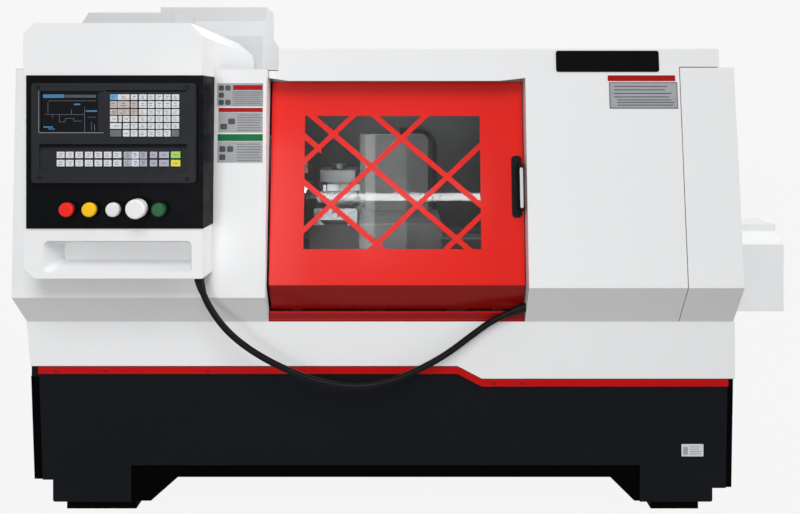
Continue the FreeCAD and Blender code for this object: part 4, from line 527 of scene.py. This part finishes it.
# ---------------------------------------------------------------- plates on the guards and the base
# The finishes of a plate, in order: its field, its edge, its heading and its print.
FIELD, EDGE, HEADING, PRINTED = range(4)


def add_fields(tool, places, first, pitch, size, rise):
    """Plain rounded fields on a grid of (column, row) places of a plate on the left guard."""
    for column, row in places:
        low = (first[0] + column * pitch[0], first[1] + row * pitch[1])
        high = (low[0] + size[0], low[1] + size[1])
        add_panel(tool, LEFT_GUARD, low, high, rise, radius=4.0, foot=0.7, index=PRINTED, steps=3)


tool = bmesh.new()
add_panel(tool, RIGHT_GUARD, (1472.5, 1224.0), (1756.7, 1283.0), 2.0, radius=6.5, edge=0.6, steps=6)
piece_from("name_plate_blank", tool, [SIGN], "enclosure")

tool = bmesh.new()
add_panel(tool, RIGHT_GUARD, (1617.0, 1122.6), (1805.0, 1196.0), 0.8, radius=1.5, index=EDGE)
add_panel(tool, RIGHT_GUARD, (1620.0, 1125.6), (1802.0, 1193.0), 1.1, foot=0.7, index=FIELD)
add_panel(tool, RIGHT_GUARD, (1614.0, 1198.6), (1800.0, 1214.6), 0.8, index=HEADING)
add_lines(tool, RIGHT_GUARD, (1630.0, 1150.0), (1792.0, 1189.0), 4, 1.2, PRINTED, thick=2.4, ragged=0.16)
add_lines(tool, RIGHT_GUARD, (1638.0, 1129.0), (1795.0, 1150.0), 3, 1.2, PRINTED, thick=2.4, ragged=0.06)
piece_from("data_plate_right", tool, [PLATE, PLATE_EDGE, PLATE_RED, INK], "enclosure")

tool = bmesh.new()
add_panel(tool, LEFT_GUARD, (545.0, 1129.0), (669.5, 1192.0), 0.8, index=FIELD)
add_panel(tool, LEFT_GUARD, (588.0, 1173.6), (668.0, 1186.6), 1.1, radius=0.6, foot=0.7, index=HEADING)
add_panel(tool, LEFT_GUARD, (588.0, 1131.5), (668.0, 1170.0), 1.0, radius=0.6, foot=0.7, index=EDGE)
add_panel(tool, LEFT_GUARD, (589.2, 1132.7), (666.8, 1168.8), 1.2, radius=0.5, foot=0.9, index=FIELD)
add_lines(tool, LEFT_GUARD, (592.0, 1134.0), (665.0, 1168.0), 6, 1.4, EDGE, thick=2.2, ragged=0.10)
add_fields(tool, ((0, 0), (0, 1), (0, 2), (1, 0), (1, 2)), (549.0, 1132.5), (18.0, 19.5), (14.5, 14.5), 1.1)
piece_from("data_plate_upper", tool, [PLATE, PLATE_EDGE, PLATE_RED, INK], "enclosure")

tool = bmesh.new()
add_panel(tool, LEFT_GUARD, (549.0, 1058.0), (669.0, 1112.5), 0.8, index=FIELD)
add_panel(tool, LEFT_GUARD, (549.0, 1113.6), (669.0, 1125.0), 0.8, radius=0.8, index=HEADING)
add_lines(tool, LEFT_GUARD, (601.0, 1060.5), (666.0, 1109.0), 7, 1.0, EDGE, thick=2.4, ragged=0.12)
add_fields(tool, ((0, 0), (1, 1)), (554.0, 1066.0), (21.0, 14.0), (19.0, 16.0), 1.0)
piece_from("data_plate_middle", tool, [PLATE, PLATE_EDGE, PLATE_RED, INK], "enclosure")

tool = bmesh.new()
add_panel(tool, LEFT_GUARD, (547.0, 976.5), (669.5, 1033.5), 0.8, index=FIELD)
add_panel(tool, LEFT_GUARD, (547.0, 1035.0), (669.5, 1053.6), 0.8, radius=0.8, index=HEADING)
add_lines(tool, LEFT_GUARD, (600.0, 979.0), (666.0, 1030.0), 7, 1.0, EDGE, thick=2.4, ragged=0.12)
add_fields(tool, ((0, 0), (0, 1), (1, 1)), (552.0, 983.0), (21.0, 22.0), (17.0, 16.0), 1.0)
piece_from("data_plate_lower", tool, [PLATE, PLATE_EDGE, PLATE_GREEN, INK], "enclosure")

tool = bmesh.new()
add_panel(tool, BASE_COVER, (1822.0, 159.0), (1883.0, 193.0), 1.0, radius=1.5, index=0)
add_lines(tool, BASE_COVER, (1845.0, 163.0), (1879.0, 189.0), 4, 1.2, 1, thick=1.6, ragged=0.3)
add_panel(tool, BASE_COVER, (1827.0, 164.0), (1840.0, 186.0), 1.2, foot=0.9, index=2)
piece_from("rating_plate_blank", tool, [PLATE_PALE, PLATE_EDGE, PLATE], "enclosure")

# ---------------------------------------------------------------- the stripe and the sill
tool = bmesh.new()
places = ((90.0, 399.0), (229.0, 399.0), (511.0, 399.0), (1302.0, 364.0), (1382.0, 364.0))
add_screw_heads(tool, [at(along, TRAY_DEPTH, height) for along, height in places],
                [(0, 5.0), (-0.9, 5.0), (-2.0, 3.6), (-2.0, 2.0), (-1.1, 1.7)], 20)
piece_from("stripe_screws", tool, [SILL_RED_SHADED], "enclosure")

tool = bmesh.new()
for low, high in ((556.4, 561.6), (537.6, 542.2)):
    add_panel(tool, SILL, (680.5, low), (1385.5, high), 1.4, radius=1.2, edge=0.6)
piece_from("sill_ribs", tool, [STRIPE_SHADED], "enclosure")

# ---------------------------------------------------------------- the door handle
tool = bmesh.new()
add_panel(tool, door_front, (1351.0, 823.0), (1379.0, 992.0), 4.0, radius=11.0, edge=1.2, steps=8)
plate = piece_from("handle_escutcheon", tool, [GRIP_BLACK], "door")
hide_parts("handle_plate")

tool = bmesh.new()
add_panel(tool, grip_face, (1368.6, 853.0), (1377.4, 962.0), 1.2, radius=3.6, edge=0.6, steps=5)
piece_from("handle_inlay", tool, [GRIP_GREY], "door")

# ---------------------------------------------------------------- the control panel
# How far a key stands out, and the dashes on it: their half height and how far out they start and end.
KEY_RISE = 3.4
DASH_HALF = 0.8
DASH_FOOT = 3.3
DASH_RISE = 3.5


def add_key(tool, face, low, high, finish, marks=1):
    """A key with a softened rim, and short plain dashes where its legend is."""
    cap = KEY_FINISHES.index(finish)
    ink = KEY_FINISHES.index(KEY_INK)
    add_panel(tool, face, low, high, KEY_RISE, radius=0.9, edge=0.45, index=cap)
    width = high[0] - low[0]
    tall = high[1] - low[1]
    for mark in range(marks):
        height = low[1] + tall * (mark + 1) / (marks + 1)
        half = width * (0.24 if (int(low[0]) + mark) % 3 else 0.15)
        middle = (low[0] + high[0]) / 2 + width * 0.05 * ((int(low[0] + height) % 3) - 1)
        add_panel(tool, face, (middle - half, height - DASH_HALF), (middle + half, height + DASH_HALF),
                  DASH_RISE, radius=0.3, foot=DASH_FOOT, edge=0.1, index=ink, steps=1)


# Beside the screen: eight columns and six rows. The first two columns differ in the three lowest rows.
COLUMNS = ((301.2, 319.2), (320.3, 351.0), (354.0, 371.2), (374.8, 394.8), (397.5, 414.8), (417.6, 435.6),
           (438.4, 455.8), (458.6, 477.6))
ROWS = ((1144.5, 1159.0), (1124.1, 1141.7), (1106.2, 1121.3), (1088.4, 1103.9), (1070.7, 1085.8),
        (1051.0, 1067.9))
FINISH_AT = {(0, 0): KEY_BLUE, (5, 7): KEY_DARK}
FINISH_AT.update({(row, column): KEY_WARM for row in (1, 2) for column in (0, 1, 2)})
tool = bmesh.new()
for row, (low, high) in enumerate(ROWS):
    for column, (start, end) in enumerate(COLUMNS):
        if column == 0 and row == 3:
            add_key(tool, PANEL, (301.2, low), (319.8, high), KEY)
            add_key(tool, PANEL, (323.0, low), (331.4, high), KEY)
            add_key(tool, PANEL, (334.2, low), (351.0, high), KEY)
        elif column == 0 and row > 3:
            add_key(tool, PANEL, (301.2, low), (330.4, high), KEY_DARK if row == 5 else KEY)
            add_key(tool, PANEL, (334.2, low), (351.0, high), KEY)
        elif column > 1 or row < 3:
            add_key(tool, PANEL, (start, low), (end, high), FINISH_AT.get((row, column), KEY), 2)
keys = piece_from("keypad_keys", tool, KEY_FINISHES, "enclosure")
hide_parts("function_keys")

# Below the screen: two rows of plain keys, three columns of jog keys, two of shaded keys, and two colours.
UPPER_ROW = (995.8, 1012.2)
LOWER_ROW = (974.5, 991.4)
JOG_ROWS = ((974.5, 992.2), (994.6, 1012.2))
JOG_WIDTH = 19.2
tool = bmesh.new()
for start, end in ((163.0, 183.3), (186.3, 206.4), (210.7, 229.9), (235.1, 255.5), (259.9, 279.1),
                   (283.7, 303.2), (307.3, 328.8)):
    for low, high in (UPPER_ROW, LOWER_ROW):
        add_key(tool, PANEL_INSET, (start, low), (end, high), KEY, 2)
for start, finish in ((334.5, KEY_SHADE), (354.4, KEY), (375.2, KEY_SHADE)):
    for low, high in JOG_ROWS:
        add_key(tool, PANEL_INSET, (start, low), (start + JOG_WIDTH, high), finish, 3)
for start, end in ((401.6, 420.3), (425.2, 450.3)):
    for low, high in (UPPER_ROW, LOWER_ROW):
        add_key(tool, PANEL_INSET, (start, low), (end, high), KEY_SHADE)
add_key(tool, PANEL_INSET, (455.4, 995.8), (479.6, 1012.8), KEY_LIME)
add_key(tool, PANEL_INSET, (455.4, 974.5), (479.6, 991.4), KEY_YELLOW)
keys = piece_from("panel_keys", tool, KEY_FINISHES, "enclosure")
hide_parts("operation_keys")

# The lit marks: fields of the screen, the lines between them and a plain stepped graph.
BLUE, LINE, GREY = range(3)
tool = bmesh.new()
for low, high, index in (
        ((126.5, 1150.0), (181.1, 1159.0), BLUE), ((182.6, 1150.6), (262.7, 1158.0), GREY),
        ((140.9, 1142.0), (262.4, 1143.2), LINE), ((138.5, 1110.5), (139.8, 1139.5), LINE),
        ((131.4, 1106.9), (232.4, 1108.1), LINE), ((198.7, 1108.1), (199.9, 1120.3), LINE),
        ((232.6, 1062.9), (233.8, 1126.7), LINE), ((206.0, 1131.5), (222.0, 1135.5), BLUE),
        ((236.8, 1114.4), (265.0, 1118.4), BLUE), ((127.7, 1073.6), (152.0, 1077.2), BLUE),
        ((139.8, 1069.0), (157.0, 1071.6), BLUE), ((240.0, 1100.0), (262.0, 1101.2), LINE),
        ((150.0, 1098.0), (151.2, 1106.9), LINE), ((168.0, 1088.0), (169.2, 1106.9), LINE),
        ((169.2, 1088.0), (184.0, 1089.2), LINE), ((183.0, 1089.2), (184.2, 1098.0), LINE),
        ((184.2, 1097.0), (205.0, 1098.2), LINE), ((205.0, 1090.0), (206.2, 1098.2), LINE),
        ((206.2, 1090.0), (226.0, 1091.2), LINE), ((250.0, 1066.0), (251.2, 1090.0), LINE),
        ((258.0, 1066.0), (259.4, 1082.0), BLUE)):
    add_panel(tool, PANEL_INSET, low, high, 0.25, radius=0.3, edge=0.1, index=index, steps=1)
piece_from("screen_marks", tool, [GLOW_BLUE, GLOW_LINE, GLOW_GREY], "enclosure")

tool = bmesh.new()
# Black lines along the top edges of the recessed key panels: a painted shadow.
for low, high in (((289.5, 1165.6), (495.5, 1169.9)), ((118.9, 1024.5), (495.5, 1031.5))):
    add_panel(tool, PANEL, low, high, 0.5, radius=0.6, index=0)
# Grey lines along the screen's lower and left edges: a painted highlight on the bezel's rim.
for low, high in (((117.4, 1059.6), (284.0, 1062.2)), ((116.8, 1062.0), (118.6, 1168.0))):
    add_panel(tool, PANEL, low, high, 0.8, radius=0.6, index=1)
add_panel(tool, PANEL_INSET, (268.0, 1063.5), (281.6, 1166.6), 0.6, radius=0.4, index=2)
piece_from("panel_trim_painted_shadow_and_highlight", tool, [BLACK, PLATE_EDGE, BEZEL], "enclosure")

tool = bmesh.new()
places = ((120.0, 945.0), (497.0, 942.5), (497.0, 1178.0), (116.0, 1178.5))
add_screw_heads(tool, [at(along, PANEL_DEPTH, height) for along, height in places],
                [(0, 5.2), (-0.6, 5.2), (-1.6, 4.2), (-1.6, 2.4), (-0.5, 2.1)], 24)
piece_from("panel_screws", tool, [GRIP_BLACK], "enclosure")

# ---------------------------------------------------------------- stage
# How pale the floor and the world are where they are seen, and how strongly the world lights things.
FLOOR_SEEN = 0.90
WORLD_SEEN = 0.93
WORLD_LIGHT = 0.275
FLOOR_HALF = 14.0
FLOOR_DROP = 0.0005


def shows(nodes, links):
    """One for the camera and for what is seen in gloss or through glass, zero for light on surfaces."""
    ray = nodes.new("ShaderNodeLightPath")
    found = ray.outputs["Is Camera Ray"]
    for kind in ("Is Glossy Ray", "Is Transmission Ray"):
        either = nodes.new("ShaderNodeMath")
        either.operation = "MAXIMUM"
        links.new(found, either.inputs[0])
        links.new(ray.outputs[kind], either.inputs[1])
        found = either.outputs["Value"]
    return found


floor_mesh = bmesh.new()
bmesh.ops.create_grid(floor_mesh, x_segments=1, y_segments=1, size=FLOOR_HALF)
floor_data = bpy.data.meshes.new("floor")
floor_mesh.to_mesh(floor_data)
floor_mesh.free()
floor_finish = finish_of("floor_finish", (0.20, 0.20, 0.202), 0.6, tint=0.01, bump=0.02, bump_scale=60,
                         edge=0.0, specular=0.0)
nodes, links = links_of(floor_finish)
pale = nodes.new("ShaderNodeEmission")
pale.inputs["Color"].default_value = (1.0, 1.0, 1.0, 1)
floor_pick = nodes.new("ShaderNodeMixShader")
seen_share = spread(nodes, links, shows(nodes, links), 0.0, FLOOR_SEEN, 0.0, 1.0)
links.new(seen_share, floor_pick.inputs["Fac"])
links.new(nodes["Principled BSDF"].outputs["BSDF"], floor_pick.inputs[1])
links.new(pale.outputs["Emission"], floor_pick.inputs[2])
links.new(floor_pick.outputs["Shader"], nodes["Material Output"].inputs["Surface"])
floor_data.materials.append(floor_finish)
floor = bpy.data.objects.new("floor", floor_data)
floor.location = (0, 0, -FLOOR_DROP)
bpy.context.scene.collection.objects.link(floor)
floor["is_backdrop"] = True

world = bpy.data.worlds.new("studio")
bpy.context.scene.world = world
world.use_nodes = True
nodes, links = world.node_tree.nodes, world.node_tree.links
nodes.clear()
seen = nodes.new("ShaderNodeBackground")
seen.inputs["Color"].default_value = (WORLD_SEEN, WORLD_SEEN, WORLD_SEEN, 1)
seen.inputs["Strength"].default_value = 1.0
lit = nodes.new("ShaderNodeBackground")
lit.inputs["Color"].default_value = (0.97, 0.98, 1.0, 1)
lit.inputs["Strength"].default_value = WORLD_LIGHT
pick = nodes.new("ShaderNodeMixShader")
target = nodes.new("ShaderNodeOutputWorld")
links.new(shows(nodes, links), pick.inputs["Fac"])
links.new(lit.outputs["Background"], pick.inputs[1])
links.new(seen.outputs["Background"], pick.inputs[2])
links.new(pick.outputs["Shader"], target.inputs["Surface"])


def beam(name, towards, strength, angle):
    """Even soft light from far away, from the given side, as wide as the angle in degrees."""
    data = bpy.data.lights.new(name, "SUN")
    data.energy = strength
    data.angle = math.radians(angle)
    thing = bpy.data.objects.new(name, data)
    thing.rotation_euler = Vector(towards).to_track_quat("Z", "Y").to_euler()
    bpy.context.scene.collection.objects.link(thing)


def lamp(name, place, aim, size, power, colour=(1, 1, 1)):
    """A lit rectangle at a place, turned to what it is aimed at, in metres and watts."""
    data = bpy.data.lights.new(name, "AREA")
    data.shape = "RECTANGLE"
    data.size, data.size_y = size
    data.energy = power
    data.color = colour
    thing = bpy.data.objects.new(name, data)
    thing.location = place
    thing.rotation_euler = (Vector(aim) - Vector(place)).to_track_quat("-Z", "Y").to_euler()
    bpy.context.scene.collection.objects.link(thing)


beam("key", (0.12, -0.70, 0.78), 1.70, 30)
beam("side", (0.96, -0.10, 0.27), 2.0, 40)
beam("left", (-0.95, -0.05, 0.30), 0.55, 50)
beam("back", (-0.20, 0.90, 0.40), 0.60, 50)

# The lamps stand behind the camera, where the leaning pane mirrors them. The last is inside the enclosure.
lamp("sheen", (-1.22, -3.4, 0.92), (-0.35, -0.4, 0.90), (0.90, 1.2), 20)
lamp("tube", (-0.06, -3.4, 1.12), (-0.06, -0.36, 0.88), (1.15, 0.05), 5.5)
lamp("strip", (-0.29, -3.42, 1.11), (-0.146, -0.36, 0.88), (0.11, 0.92), 1.5)
lamp("wash", (-0.16, -3.44, 1.11), (-0.10, -0.36, 0.88), (0.30, 0.92), 1.8)
lamp("inside", (0.05, 0.10, 1.18), (0.05, 0.14, 0.80), (1.1, 0.05), 1.1, (0.95, 0.98, 1.0))

# ---------------------------------------------------------------- the object's bounds
low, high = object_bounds()
